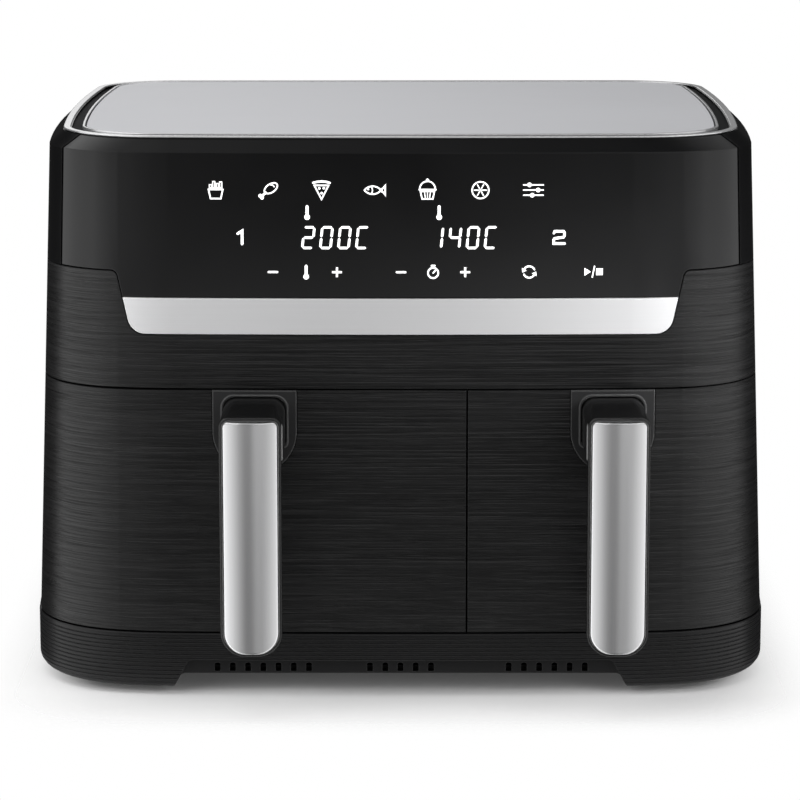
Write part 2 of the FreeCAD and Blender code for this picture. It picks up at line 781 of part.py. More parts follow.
def drawer_sensor(bay):
    """Magnetic sensor on the bay frame, beside the seam, that tells when a drawer is in."""
    middle = DRAWER_SEAM_X - bay.towards_seam * SENSOR_OFFSET
    return box(about(middle, SENSOR_HALF), (BAY_FRAME_Y[1], BAY_FRAME_Y[1] + SENSOR_DEPTH), SENSOR_Z)


def heat_probe(bay):
    """Temperature probe on a cavity's roof behind the reflector."""
    roof = CAVITY_ROOF_Z + SHEET
    y = STACK_Y + bay.dome_radius + DOME_FLANGE + 6
    return united([disc(4.5, (roof, roof + 3), bay.x, y), disc(2.0, (roof, roof + 14), bay.x, y)])


# Cooking cavities

def cavity(bay):
    """Sheet liner of a bay: open at the front, holed above for the fan and vented at the back."""
    x = about(bay.x, bay.cavity_half)
    y = (BAY_FRAME_Y[1], CAVITY_BACK_Y)
    z = (CAVITY_FLOOR_Z, CAVITY_ROOF_Z)
    outer = box((x[0] - SHEET, x[1] + SHEET), (y[0], y[1] + SHEET), (z[0] - SHEET, z[1] + SHEET))
    liner = outer.cut(box(x, (y[0] - 1, y[1]), z))
    liner = liner.cut(disc(bay.dome_radius - 2, (z[1] - 1, z[1] + 2), bay.x))
    count = int((bay.cavity_half - CAVITY_VENT) // CAVITY_VENT_PITCH)
    vents = []
    for i in range(-count, count + 1):
        span = about(bay.x + i * CAVITY_VENT_PITCH, CAVITY_VENT / 2)
        vents.append(box(span, (y[1] - 1, y[1] + 2), CAVITY_VENT_Z))
    return liner.cut(group(vents))


def drawer_rails(bay):
    """Two ledges on the cavity walls that the bowl's rim slides along."""
    top = BOWL_RIM_Z - RIM_THICK - JOIN
    rails = []
    for side in (-1, 1):
        x = sorted((bay.x + side * (bay.bowl_half + 1.4), bay.x + side * bay.cavity_half))
        rails.append(box(x, (BAY_FRAME_Y[1], CAVITY_BACK_Y - 4), (top - RAIL_THICK, top)))
    return group(rails)


def bay_frame():
    """Frame behind the drawer fronts, with a mouth for each bay."""
    plate = clip(body_slice((SEAM_LOW_Z + JOIN, BAY_FRAME_TOP_Z), WALL + JOIN), y=BAY_FRAME_Y)
    for bay in BAYS:
        mouth_z = (CAVITY_FLOOR_Z, CAVITY_ROOF_Z - 1)
        plate = plate.cut(box(about(bay.x, bay.cavity_half), (-FAR, 0), mouth_z))
    return plate


def reflector(bay):
    """Round housing over the heater, flanged onto the cavity roof."""
    roof = CAVITY_ROOF_Z + SHEET
    inner = bay.dome_radius - SHEET
    shell = disc(bay.dome_radius, (roof, DOME_TOP_Z), bay.x)
    shell = shell.cut(disc(inner, (roof - 1, DOME_TOP_Z - SHEET), bay.x))
    flange = tube(bay.dome_radius + DOME_FLANGE, inner, (roof, roof + SHEET), bay.x)
    return united([shell, flange]).cut(disc(SHAFT_RADIUS + 2, (0, FAR), bay.x))


def heater_guard(bay):
    """Ringed guard under the heater."""
    z = (CAVITY_ROOF_Z - GUARD_THICK, CAVITY_ROOF_Z)
    outer = bay.dome_radius + 2.0
    pieces = [tube(outer, bay.dome_radius - 5.0, z, bay.x)]
    for i in range(1, int(outer // GUARD_RING_PITCH)):
        radius = outer - 5.0 - i * GUARD_RING_PITCH
        pieces.append(tube(radius, radius - GUARD_WIRE, z, bay.x))
    for turn in range(3):
        spoke = box(about(bay.x, outer - 4.0), about(STACK_Y, GUARD_WIRE / 2), z)
        spoke.rotate(Vector(bay.x, STACK_Y, 0), Vector(0, 0, 1), 60 * turn + 30)
        pieces.append(spoke)
    return united(pieces)


def heater_leg(point, heading):
    """Edges of a heater end, from where it stands up by the roof down to point, facing along heading."""
    centre = point + Vector(0, 0, HEATER_BEND)
    low = centre - heading * HEATER_BEND
    down = Vector(0, 0, -1)
    middle = centre + (down - heading).normalize() * HEATER_BEND
    high = Vector(low.x, low.y, DOME_TOP_Z - SHEET - JOIN)
    return [Part.LineSegment(high, low).toShape(), Part.Arc(low, middle, point).toShape()]


def heater(bay):
    """Tubular element: a ring that doubles back on itself, with both ends turned up to the roof."""
    outer = bay.dome_radius - HEATER_MARGIN
    inner = outer - 2 * HEATER_BEND
    hub = Vector(bay.x, STACK_Y, HEATER_Z)
    ends = HEATER_START_DEG, HEATER_START_DEG + HEATER_SWEEP_DEG

    def outward(degrees):
        return Vector(math.cos(math.radians(degrees)), math.sin(math.radians(degrees)), 0)

    def ring(radius):
        stops = [ends[0] + HEATER_SWEEP_DEG * share for share in (0, 0.25, 0.5, 0.75, 1)]
        p = [hub + outward(stop) * radius for stop in stops]
        return [Part.Arc(*p[0:3]).toShape(), Part.Arc(*p[2:5]).toShape()]

    heading = outward(ends[0] + 90)
    turn_middle = hub + outward(ends[1]) * (outer - HEATER_BEND) + outward(ends[1] + 90) * HEATER_BEND
    turn_ends = [hub + outward(ends[1]) * radius for radius in (outer, inner)]
    hairpin = Part.Arc(turn_ends[0], turn_middle, turn_ends[1]).toShape()
    legs = [heater_leg(hub + outward(ends[0]) * radius, heading) for radius in (outer, inner)]
    path = Part.Wire(legs[0] + ring(outer) + [hairpin] + ring(inner)[::-1] + legs[1][::-1])
    top = legs[0][0].firstVertex(True).Point
    section = Part.Wire(Part.makeCircle(HEATER_RADIUS, top, Vector(0, 0, 1)))
    return path.makePipeShell([section], True, False)


def mid_deck():
    """Plate above the cavities that carries the motors and the mains board, on four legs."""
    plate = clip(body_slice(DECK_Z, 2 * WALL), y=DECK_Y)
    roof = CAVITY_ROOF_Z + SHEET
    legs = [disc(4.0, (roof, DECK_Z[1]), x, y) for x in DECK_LEGS_X for y in DECK_LEGS_Y]
    posts = []
    for x in (POWER_BOARD_X[0] + 4, POWER_BOARD_X[1] - 4):
        for y in (POWER_BOARD_Y[0] + 4, POWER_BOARD_Y[1] - 4):
            posts.append(disc(3.5, (DECK_Z[0], DECK_Z[1] + POWER_BOARD_LIFT), x, y))
    holes = [disc(SHAFT_RADIUS + 5, (0, FAR), bay.x) for bay in BAYS]
    return united([plate] + legs + posts).cut(group(holes))


def exhaust_duct():
    """Open-ended duct from the cavities' vents to the grille."""
    y = (CAVITY_BACK_Y + SHEET, DUCT_BACK_Y)
    inside_z = (DUCT_Z[0] + DUCT_WALL, DUCT_Z[1] - DUCT_WALL)
    inside = box(about(0, DUCT_HALF - DUCT_WALL), (y[0] - 1, y[1] + 1), inside_z)
    return box(about(0, DUCT_HALF), y, DUCT_Z).cut(inside)


# Fan drive

def motor(bay):
    """Motor casing, hollow for its rotor, with a flange on the deck."""
    low, top = MOTOR_Z
    can = disc(bay.motor_radius, MOTOR_Z, bay.x)
    can = can.makeFillet(WALL, [e for e in can.Edges if e.BoundBox.ZMin > top - 0.1])
    case = united([can, disc(bay.motor_radius + MOTOR_FLANGE, (low, low + WALL), bay.x)])
    case = case.cut(disc(BUSH_RADIUS + PRESS, (low - 1, top + 1), bay.x))
    rotor_z = (low + BUSH_LENGTH + 2, top - BUSH_LENGTH - 2)
    return case.cut(disc(bay.motor_radius - ROTOR_WALL, rotor_z, bay.x))


def motor_bushes(bay):
    """Bearing bush at each end of the motor."""
    low, top = MOTOR_Z
    spans = ((low, low + BUSH_LENGTH), (top - BUSH_LENGTH, top))
    return group([tube(BUSH_RADIUS, SHAFT_RADIUS + RUNNING, span, bay.x) for span in spans])


def motor_shaft(bay):
    """Shaft with the rotor core on it."""
    low, top = MOTOR_Z
    inside = BUSH_LENGTH + 2 + ROTOR_GAP
    core_radius = bay.motor_radius - ROTOR_WALL - ROTOR_GAP
    core = disc(core_radius, (low + inside, top - inside), bay.x)
    return united([disc(SHAFT_RADIUS, (SHAFT_BOTTOM_Z, top + SHAFT_ABOVE), bay.x), core])


def bladed_wheel(bay, radius, hub, disc_z, blade_z, count):
    """Disc with leaning upright blades round a bored hub."""
    hub_z = (min(disc_z[0], blade_z[0]), max(disc_z[1], blade_z[1]))
    root = bay.x + hub + 4
    pieces = [disc(radius, disc_z, bay.x), disc(hub, hub_z, bay.x)]
    for i in range(count):
        blade = box((root, bay.x + radius - BLADE), about(STACK_Y, BLADE / 2), blade_z)
        blade.rotate(Vector(root, STACK_Y, 0), Vector(0, 0, 1), BLADE_LEAN_DEG)
        blade.rotate(Vector(bay.x, STACK_Y, 0), Vector(0, 0, 1), 360.0 * i / count)
        pieces.append(blade)
    return united(pieces).cut(disc(SHAFT_RADIUS + PRESS, (0, FAR), bay.x))


def fan_wheel(bay):
    """Hot-air fan under the reflector's roof."""
    return bladed_wheel(bay, bay.fan_radius, 7.0, FAN_DISC_Z, FAN_BLADE_Z, FAN_BLADES)


def cooling_fan(bay):
    """Small fan on top of the motor that cools it."""
    low = MOTOR_Z[1] + 3
    disc_z = (low, low + BLADE)
    return bladed_wheel(bay, bay.motor_radius - 3, 6.0, disc_z, (low + BLADE, low + 9), COOLING_BLADES)


# Drawers

def shield_outline(bay, grow):
    """U-shaped plate behind the handle, seen from the front."""
    half = SHIELD_HALF + grow
    z = (SHIELD_ROUND_Z - half, SEAM_HIGH_Z + 5)
    return outline(about(bay.x, half), z, half - 0.01, 0)


def neck_outline(bay, grow):
    """Section of the arm that carries the handle, seen from the front."""
    return outline(about(bay.x, NECK_HALF + grow), (NECK_Z[0] - grow, NECK_Z[1] + grow), 3.0, 6.5)


def seam_wedge(bay, z):
    """Wedge that bevels a drawer front's upright edge at the seam between the drawers."""
    x = bay.seam_x()
    out = bay.towards_seam
    wires = []
    for at in z:
        y = face_y(x, at)
        corners = [
            Vector(x + 2 * out, y + EDGE + 2, at),
            Vector(x - (EDGE + 2) * out, y - 2, at),
            Vector(x + 2 * out, y - 2, at),
        ]
        wires.append(Part.makePolygon(corners + corners[:1]))
    return Part.makeLoft(wires, True, True)


def handle_screw_places(bay):
    """X and Z of the two screws that hold a handle on."""
    return [(x, HANDLE_SCREW_Z) for x in about(bay.x, HANDLE_SCREW_X)]


def drawer_front(bay):
    """Textured front shell of a drawer, open behind, with a pocket for the handle's shield."""
    z = (SEAM_LOW_Z + SEAM / 2, SEAM_HIGH_Z - SEAM / 2)
    block = clip(body_slice(z, edge=EDGE), x=bay.span(), y=(-FAR, SIDE_SEAM_Y - SEAM))
    block = block.cut(seam_wedge(bay, z))
    hollow = clip(body_slice((z[0] + WALL, z[1] - WALL), WALL), x=bay.span(WALL))
    behind = clip(body_slice((z[0] - 1, z[1] + 1), WALL), y=(LINER_Y, FAR))
    shell = block.cut(hollow).cut(behind)
    pocket = front_prism(shield_outline(bay, JOIN), (-FAR, LINER_Y))
    shell = shell.cut(pocket.cut(body_slice((0, FAR / 2), SHIELD_THICK)))
    holes = [rod(SCREW_RADIUS + JOIN, (-FAR, LINER_Y), x, at) for x, at in handle_screw_places(bay)]
    return shell.cut(group(holes))


def drawer_liner(bay):
    """Inner plate that closes a drawer front."""
    margin = WALL + JOIN
    z = (SEAM_LOW_Z + SEAM / 2 + margin, SEAM_HIGH_Z - SEAM / 2 - margin)
    return clip(body_slice(z, margin), x=bay.span(margin), y=(LINER_Y - LINER_THICK, LINER_Y))


def bowl_inset(z):
    """How far the bowl's wall has drawn in at height z below the rim."""
    return BOWL_TAPER * (BOWL_RIM_Z - z) / (BOWL_RIM_Z - BOWL_BOTTOM_Z)


def bowl_plan(bay, inset):
    """X limits, Y limits and corner radius of the bowl's outside, drawn in by inset."""
    y = (BOWL_FRONT_Y + RIM_FLANGE + inset, BOWL_BACK_Y - RIM_FLANGE - inset)
    return about(bay.x, bay.bowl_half - inset), y, BOWL_CORNER - inset


def bowl_block(bay, inset, z):
    """Tapered block with the bowl's shape between two heights, drawn in by inset, its foot rounded."""
    wires = [pan_wire(*bowl_plan(bay, inset + bowl_inset(at)), at) for at in z]
    block = Part.makeLoft(wires, True, True)
    foot = [e for e in block.Edges if e.BoundBox.ZMax < z[0] + 0.1]
    return block.makeFillet(BOWL_FOOT_RADIUS - inset, foot)


def bowl(bay):
    """Cooking bowl of a drawer, with a flat rim that runs on the rails."""
    outer = bowl_block(bay, 0.0, (BOWL_BOTTOM_Z, BOWL_RIM_Z))
    rim = pan_slab(*bowl_plan(bay, -RIM_FLANGE), (BOWL_RIM_Z - RIM_THICK, BOWL_RIM_Z))
    inner = bowl_block(bay, BOWL_WALL, (BOWL_BOTTOM_Z + BOWL_WALL, BOWL_RIM_Z + 3))
    return united([outer, rim]).cut(inner)


def bowl_bracket(bay):
    """Bracket that joins the bowl's front wall to the liner."""
    reach = BOWL_FRONT_Y + RIM_FLANGE + BOWL_TAPER + BOWL_FOOT_RADIUS
    block = box(about(bay.x, BRACKET_HALF), (LINER_Y, reach), BRACKET_Z)
    between = about(bay.x, BRACKET_HALF - BRACKET_CHEEK)
    block = block.cut(box(between, (LINER_Y + BRACKET_WEB, FAR), (0, FAR)))
    return block.cut(bowl_block(bay, 0.0, (BOWL_BOTTOM_Z, BOWL_RIM_Z)))


def drawer_screws(bay):
    """Screws that hold the handle to the drawer front, and the screw heads behind the liner's bracket."""
    screws = []
    for x, z in handle_screw_places(bay):
        inside = face_y(x, z) + WALL + JOIN
        shank = rod(SCREW_RADIUS - PRESS, (inside - HANDLE_SCREW_REACH, inside), x, z)
        head = rod(SCREW_HEAD_RADIUS, (inside, inside + SCREW_HEAD), x, z)
        screws.append(united([shank, head]))
    web = LINER_Y + BRACKET_WEB
    for x in about(bay.x, LINER_SCREW_X):
        for z in LINER_SCREW_Z:
            screws.append(rod(SCREW_HEAD_RADIUS, (web, web + SCREW_HEAD), x, z))
    return group(screws)


def crisper_plate(bay):
    """Slotted plate that lies in the bowl, dished a little inside its edge."""
    x, y, radius = bowl_plan(bay, bowl_inset(CRISPER_Z) + BOWL_WALL + CRISPER_CLEAR)
    z = (CRISPER_Z, CRISPER_Z + CRISPER_THICK)
    dish_x = (x[0] + CRISPER_DISH, x[1] - CRISPER_DISH)
    dish_y = (y[0] + CRISPER_DISH, y[1] - CRISPER_DISH)
    dish = pan_slab(dish_x, dish_y, radius - CRISPER_DISH, (z[1] - CRISPER_THICK / 3, z[1] + 1))
    columns = int((x[1] - x[0] - CRISPER_MARGIN) // CRISPER_SLOT_PITCH[0])
    rows = int((y[1] - y[0] - CRISPER_MARGIN) // CRISPER_SLOT_PITCH[1])
    slots = []
    for row in range(rows):
        stagger = 0.25 if row % 2 else -0.25
        middle_y = STACK_Y + (row - (rows - 1) / 2) * CRISPER_SLOT_PITCH[1]
        for column in range(columns):
            middle_x = bay.x + (column - (columns - 1) / 2 + stagger) * CRISPER_SLOT_PITCH[0]
            slot_x = about(middle_x, CRISPER_SLOT[0] / 2)
            slot_y = about(middle_y, CRISPER_SLOT[1] / 2)
            slots.append(pan_slab(slot_x, slot_y, CRISPER_SLOT[1] / 2 - 0.1, (z[0] - 1, z[1] + 1)))
    return pan_slab(x, y, radius, z).cut(dish).cut(group(slots))


def plate_bumpers(bay):
    """Silicone feet under the crisper plate's corners."""
    x, y, _ = bowl_plan(bay, BUMPER_INSET - RIM_FLANGE)
    z = (BOWL_BOTTOM_Z + BOWL_WALL + JOIN, CRISPER_Z)
    return group([disc(BUMPER_RADIUS, z, at_x, at_y) for at_x in x for at_y in y])


# Handles

def handle_outline(bay, inset):
    """Front outline of a handle: tight corners above, a round end below."""
    z = (HANDLE_Z[0] + inset, HANDLE_Z[1] - inset)
    radii = HANDLE_ROUND_LOW - inset, HANDLE_ROUND_HIGH - inset
    return outline(about(bay.x, HANDLE_HALF - inset), z, *radii)


def handle_shield(bay):
    """Plate let into the drawer front, with a raised collar round the handle's arm."""
    z = (SHIELD_ROUND_Z - 2 * SHIELD_HALF, SEAM_HIGH_Z - SEAM / 2)
    plate = body_skin(z, -SHIELD_PROUD, SHIELD_THICK, EDGE)
    plate = plate.common(front_prism(shield_outline(bay, 0.0), (-FAR, LINER_Y)))
    collar = body_skin(z, -SHIELD_PROUD - COLLAR_PROUD, SHIELD_THICK)
    collar = collar.common(front_prism(neck_outline(bay, JOIN + COLLAR_WIDTH), (-FAR, LINER_Y)))
    return united([plate, collar]).cut(front_prism(neck_outline(bay, JOIN), (-FAR, LINER_Y)))


def handle_core(bay):
    """Black arm and bar of a handle, with a seat for the cover and two screw holes."""
    back_y = HANDLE_DEPTH - HALF_DEPTH
    bar = front_prism(handle_outline(bay, 0.0), (HANDLE_RIM_Y, back_y))
    bar = bar.makeFillet(HANDLE_RIM * 0.7, [e for e in bar.Edges if e.BoundBox.YMax < HANDLE_RIM_Y + 0.1])
    bar = bar.makeFillet(4.0, [e for e in bar.Edges if e.BoundBox.YMin > back_y - 0.1])
    arm = front_prism(neck_outline(bay, 0.0), (back_y - HANDLE_DEPTH / 4, LINER_Y))
    arm = arm.cut(body_slice((0, FAR / 2), SHIELD_THICK))
    seat = front_prism(handle_outline(bay, HANDLE_RIM), (-FAR, COVER_SEAT_Y))
    holes = []
    for x, z in handle_screw_places(bay):
        holes.append(rod(SCREW_RADIUS, (face_y(x, z) - HANDLE_SCREW_REACH, LINER_Y), x, z))
    return united([bar, arm]).cut(seat).cut(group(holes))


def handle_cover(bay):
    """Brushed cover on the front of a handle, gently rounded across."""
    cover = front_prism(handle_outline(bay, HANDLE_RIM + COVER_GAP), (-FAR, COVER_SEAT_Y))
    drum_z = (HANDLE_Z[0] - 5, HANDLE_Z[1] + 5)
    cover = cover.common(disc(COVER_RADIUS, drum_z, bay.x, COVER_RADIUS - HALF_DEPTH))
    front = [e for e in cover.Edges if e.BoundBox.YMax < COVER_SEAT_Y - 0.5]
    return cover.makeFillet(COVER_EDGE, front)


def all_pieces():
    """Every piece of the air fryer, by node name."""
    single = (
        base_pan, rubber_feet, base_screws, wrap_housing, front_fascia, control_panel, trim_strip,
        upper_housing, panel_carrier, top_deck, top_ring, top_plate_rim, top_plate, rear_grille,
        rear_spacers, cord_gland, control_board, display_modules, power_board, bay_frame, mid_deck,
        exhaust_duct,
    )
    paired = {
        "drawer_sensors": drawer_sensor,
        "heat_probes": heat_probe,
        "drawer_rails": drawer_rails,
        "reflectors": reflector,
        "heaters": heater,
        "heater_guards": heater_guard,
        "motors": motor,
        "motor_bushes": motor_bushes,
    }
    per_bay = (
        cavity, drawer_front, drawer_liner, bowl, bowl_bracket, drawer_screws, handle_shield,
        handle_core, handle_cover, crisper_plate, plate_bumpers, motor_shaft, fan_wheel, cooling_fan,
    )
    pieces = {make.__name__: make() for make in single}
    pieces.update({name: both(make) for name, make in paired.items()})
    for bay in BAYS:
        pieces.update({f"{bay.side}_{make.__name__}": make(bay) for make in per_bay})
    return pieces


def main():
    """Build every piece and write each one to its own file."""
    os.makedirs("parts", exist_ok=True)
    for name, shape in all_pieces().items():
        volume = shape.Volume / 1000
        print(f"{name:22s} solids {len(shape.Solids):2d} valid {shape.isValid()} cm3 {volume:.2f}")
        shape.exportStep(f"parts/{name}.step")


if __name__ == "__main__":
    main()
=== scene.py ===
"""Looks of a two-drawer air fryer: its finishes, the lit symbols on its panel, and a plain studio.

Every size is in metres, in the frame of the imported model, unless a name says otherwise.
"""
import math
from functools import partial

import bmesh
import bpy
from bpy.props import FloatProperty, FloatVectorProperty, PointerProperty
from mathutils import Matrix, Vector
from mathutils.bvhtree import BVHTree


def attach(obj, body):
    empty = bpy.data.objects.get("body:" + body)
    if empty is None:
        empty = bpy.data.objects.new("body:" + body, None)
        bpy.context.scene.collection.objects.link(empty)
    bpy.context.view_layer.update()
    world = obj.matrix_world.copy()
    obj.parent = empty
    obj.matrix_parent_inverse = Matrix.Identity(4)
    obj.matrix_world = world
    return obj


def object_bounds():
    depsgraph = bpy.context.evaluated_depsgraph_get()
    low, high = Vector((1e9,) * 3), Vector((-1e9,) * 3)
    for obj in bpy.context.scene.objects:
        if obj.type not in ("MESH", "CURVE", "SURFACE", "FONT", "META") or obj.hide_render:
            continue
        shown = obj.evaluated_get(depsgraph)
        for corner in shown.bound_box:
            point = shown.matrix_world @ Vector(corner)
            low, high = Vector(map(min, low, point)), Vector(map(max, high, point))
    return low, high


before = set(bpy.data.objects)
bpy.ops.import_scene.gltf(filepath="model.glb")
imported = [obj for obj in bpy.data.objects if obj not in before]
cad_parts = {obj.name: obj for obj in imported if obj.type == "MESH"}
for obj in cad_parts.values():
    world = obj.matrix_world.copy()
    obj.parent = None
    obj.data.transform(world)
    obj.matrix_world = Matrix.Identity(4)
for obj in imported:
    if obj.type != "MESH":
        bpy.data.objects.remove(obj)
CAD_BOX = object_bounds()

bl_info = {
    "name": "Two-drawer air fryer",
    "version": (1, 0, 0),
    "blender": (4, 5, 0),
    "location": "View3D > Sidebar > Air fryer",
    "description": "Finishes, panel symbols and studio of a countertop air fryer",
    "category": "Object",
}

MM = 0.001
SIDES = ("left_", "right_")


# Settings that a user would change

def length(name, description, default):
    """A size in metres."""
    return FloatProperty(name=name, description=description, default=default, unit="LENGTH", precision=5)


def tone(name, description, default):
    """A colour in linear light."""
    return FloatVectorProperty(
        name=name, description=description, default=default, size=3, subtype="COLOR", min=0.0, max=1.0
    )


class AirFryerFinish(bpy.types.PropertyGroup):
    """Colours and grain of the outer surfaces."""

    body_black: tone("Body black", "Ground colour of the textured casings", (0.002, 0.002, 0.0021))
    body_line: tone("Body line", "Colour of the raised lines on the casings", (0.008, 0.008, 0.0082))
    satin_black: tone("Satin black", "Smooth black mouldings", (0.006, 0.006, 0.0064))
    shield_black: tone("Shield black", "Plates behind the handles", (0.014, 0.014, 0.0144))
    handle_black: tone("Handle black", "Arms and bars of the handles", (0.002, 0.002, 0.0021))
    panel_black: tone("Panel black", "Gloss control panel", (0.003, 0.003, 0.0032))
    silver: tone("Silver", "Strip and handle covers", (0.91, 0.91, 0.92))
    top_grey: tone("Top grey", "Plate on top", (0.56, 0.563, 0.585))
    line_pitch: length("Line pitch", "Mean distance between the casings' lines", 1.4 * MM)
    line_run: length("Line run", "Mean length of a line on the casings", 85 * MM)
    line_depth: length("Line depth", "Depth of the lines", 0.3 * MM)
    edge_round: length("Edge round", "Softening of moulded edges", 0.5 * MM)
    handle_round: length("Handle edge round", "Softening of the edges on handles and shields", 1.0 * MM)


class AirFryerPanel(bpy.types.PropertyGroup):
    """Places and sizes of the lit symbols."""

    glow: tone("Glow", "Colour of the lit symbols", (1.0, 1.0, 1.0))
    glow_strength: FloatProperty(
        name="Glow strength", description="Light of the symbols", default=0.95, min=0.0
    )
    lift: length("Lift", "How far the symbols stand proud of the panel", 0.12 * MM)
    line: length("Line", "Width of the symbols' lines", 0.75 * MM)
    food_z: length("Food row", "Height of the row of food symbols", 261.3 * MM)
    food_first_x: length("First food symbol", "X of the first food symbol", -93.2 * MM)
    food_pitch: length("Food pitch", "Distance between food symbols", 26.7 * MM)
    number_z: length("Number row", "Height of the middle of the numbers", 237.3 * MM)
    digit_height: length("Digit height", "Height of a display digit", 11.7 * MM)
    digit_width: length("Digit width", "Width of a display digit", 6.4 * MM)
    digit_pitch: length("Digit pitch", "Distance between display digits", 9.1 * MM)
    key_z: length("Key row", "Height of the lower row of symbols", 219.8 * MM)


class AirFryerStudio(bpy.types.PropertyGroup):
    """Camera and floor."""

    camera_distance: length("Camera distance", "From the origin to the camera along Y", 1.8338)
    camera_height: length("Camera height", "Height of the camera above the floor", 0.472)
    camera_pitch: FloatProperty(
        name="Camera pitch",
        description="How far the camera looks down",
        default=math.radians(10.65),
        subtype="ANGLE",
    )
    lens_mm: FloatProperty(name="Lens", description="Focal length on a 36 mm frame", default=152.06)
    camera_shift: FloatProperty(
        name="Camera shift", description="Sideways shift of the frame", default=-0.0006
    )
    core_width: length("Core width", "Half width of the core that the floor fades out from", 0.14)
    core_depth: length("Core depth", "Half depth of the core that the floor fades out from", 0.14)
    floor_fade: length("Floor fade", "Distance outside the core where the floor has faded out", 0.085)


# Materials

class Nodes:
    """Short ways to add to a node tree."""

    def __init__(self, tree):
        self.tree = tree

    def node(self, kind, **settings):
        """A new node with its settings."""
        made = self.tree.nodes.new(kind)
        for name, value in settings.items():
            setattr(made, name, value)
        return made

    def join(self, output, target):
        """A link from an output to an input."""
        self.tree.links.new(output, target)

    def feed(self, target, value):
        """Gives an input either a link from an output or a plain value."""
        if isinstance(value, bpy.types.NodeSocket):
            self.tree.links.new(value, target)
        else:
            target.default_value = value

    def calc(self, operation, *values):
        """The result of a sum on outputs and plain numbers."""
        made = self.node("ShaderNodeMath", operation=operation)
        for target, value in zip(made.inputs, values):
            self.feed(target, value)
        return made.outputs[0]

    def smooth(self, value, start, end, low, high):
        """A soft step from low to high as a value goes from start to end."""
        made = self.node("ShaderNodeMapRange", interpolation_type="SMOOTHSTEP")
        for socket, given in (("From Min", start), ("From Max", end), ("To Min", low), ("To Max", high)):
            made.inputs[socket].default_value = given
        self.join(value, made.inputs["Value"])
        return made.outputs["Result"]

    def masked(self, light, value, start, end, low, high):
        """A light times a soft step of a value."""
        return self.calc("MULTIPLY", light, self.smooth(value, start, end, low, high))


class Finish(Nodes):
    """A material under construction: its tree, its shader and what feeds it."""

    def __init__(self, name):
        self.material = bpy.data.materials.new(name)
        self.material.use_nodes = True
        super().__init__(self.material.node_tree)
        self.shader = self.tree.nodes["Principled BSDF"]

    def set(self, values):
        """Plain values on the shader's own sockets."""
        for socket, value in values.items():
            target = self.shader.inputs[socket]
            target.default_value = (*value, 1.0) if target.type == "RGBA" else value

    def join(self, output, target):
        """A link to another node's socket, or to a socket of the shader given by name."""
        super().join(output, self.shader.inputs[target] if isinstance(target, str) else target)

    def effect(self, tree, values):
        """A shared effect, placed with its own values."""
        made = self.node("ShaderNodeGroup", node_tree=tree)
        for socket, value in values.items():
            made.inputs[socket].default_value = value
        return made

    def blend(self, factor, low, high, socket):
        """Colour that goes from low to high with a factor, into one of the shader's sockets."""
        mix = self.node("ShaderNodeMix", data_type="RGBA")
        mix.inputs["A"].default_value = (*low, 1.0)
        mix.inputs["B"].default_value = (*high, 1.0)
        self.join(factor, mix.inputs["Factor"])
        self.join(mix.outputs["Result"], socket)

    def spread(self, factor, low, high, socket):
        """Number that goes from low to high with a factor, into one of the shader's sockets."""
        spread = self.node("ShaderNodeMapRange")
        spread.inputs["To Min"].default_value = low
        spread.inputs["To Max"].default_value = high
        self.join(factor, spread.inputs["Value"])
        self.join(spread.outputs["Result"], socket)

    def relief(self, height, depth, base_normal=None):
        """Bump from a height, over an optional base normal."""
        bump = self.node("ShaderNodeBump")
        bump.inputs["Distance"].default_value = depth
        self.join(height, bump.inputs["Height"])
        if base_normal is not None:
            self.join(base_normal, bump.inputs["Normal"])
        self.join(bump.outputs["Normal"], "Normal")


def new_effect(name, inputs, outputs):
    """An empty shader group with named float inputs and its outputs."""
    tree = bpy.data.node_groups.new(name, "ShaderNodeTree")
    for socket, default in inputs.items():
        made = tree.interface.new_socket(name=socket, in_out="INPUT", socket_type="NodeSocketFloat")
        made.default_value = default
    for socket, kind in outputs.items():
        tree.interface.new_socket(name=socket, in_out="OUTPUT", socket_type=kind)
    entry = tree.nodes.new("NodeGroupInput")
    leave = tree.nodes.new("NodeGroupOutput")
    return tree, entry, leave


# The part of a noise's range that makes lines from none to full
NOISE_RANGE = (0.3, 0.7)
# Scale and detail of the noise behind each output of the hairlines
LINE_NOISES = {"Lines": (1.0, 2.0), "Fine": (2.1, 3.0)}


def hairlines():
    """Long irregular lines: noise drawn out along the surface, with cells per metre on each axis."""
    tree, entry, leave = new_effect(
        "Hairlines",
        {"Cells X": 15.0, "Cells Y": 15.0, "Cells Z": 400.0},
        {output: "NodeSocketFloat" for output in LINE_NOISES},
    )
    place = tree.nodes.new("ShaderNodeTexCoord")
    cells = tree.nodes.new("ShaderNodeCombineXYZ")
    for axis in "XYZ":
        tree.links.new(entry.outputs[f"Cells {axis}"], cells.inputs[axis])
    drawn = tree.nodes.new("ShaderNodeVectorMath")
    drawn.operation = "MULTIPLY"
    tree.links.new(place.outputs["Object"], drawn.inputs[0])
    tree.links.new(cells.outputs["Vector"], drawn.inputs[1])
    for output, (scale, detail) in LINE_NOISES.items():
        noise = tree.nodes.new("ShaderNodeTexNoise")
        noise.inputs["Scale"].default_value = scale
        noise.inputs["Detail"].default_value = detail
        tree.links.new(drawn.outputs["Vector"], noise.inputs["Vector"])
        stretch = tree.nodes.new("ShaderNodeMapRange")
        stretch.inputs["From Min"].default_value = NOISE_RANGE[0]
        stretch.inputs["From Max"].default_value = NOISE_RANGE[1]
        tree.links.new(noise.outputs["Fac"], stretch.inputs["Value"])
        tree.links.new(stretch.outputs["Result"], leave.inputs[output])
    return tree


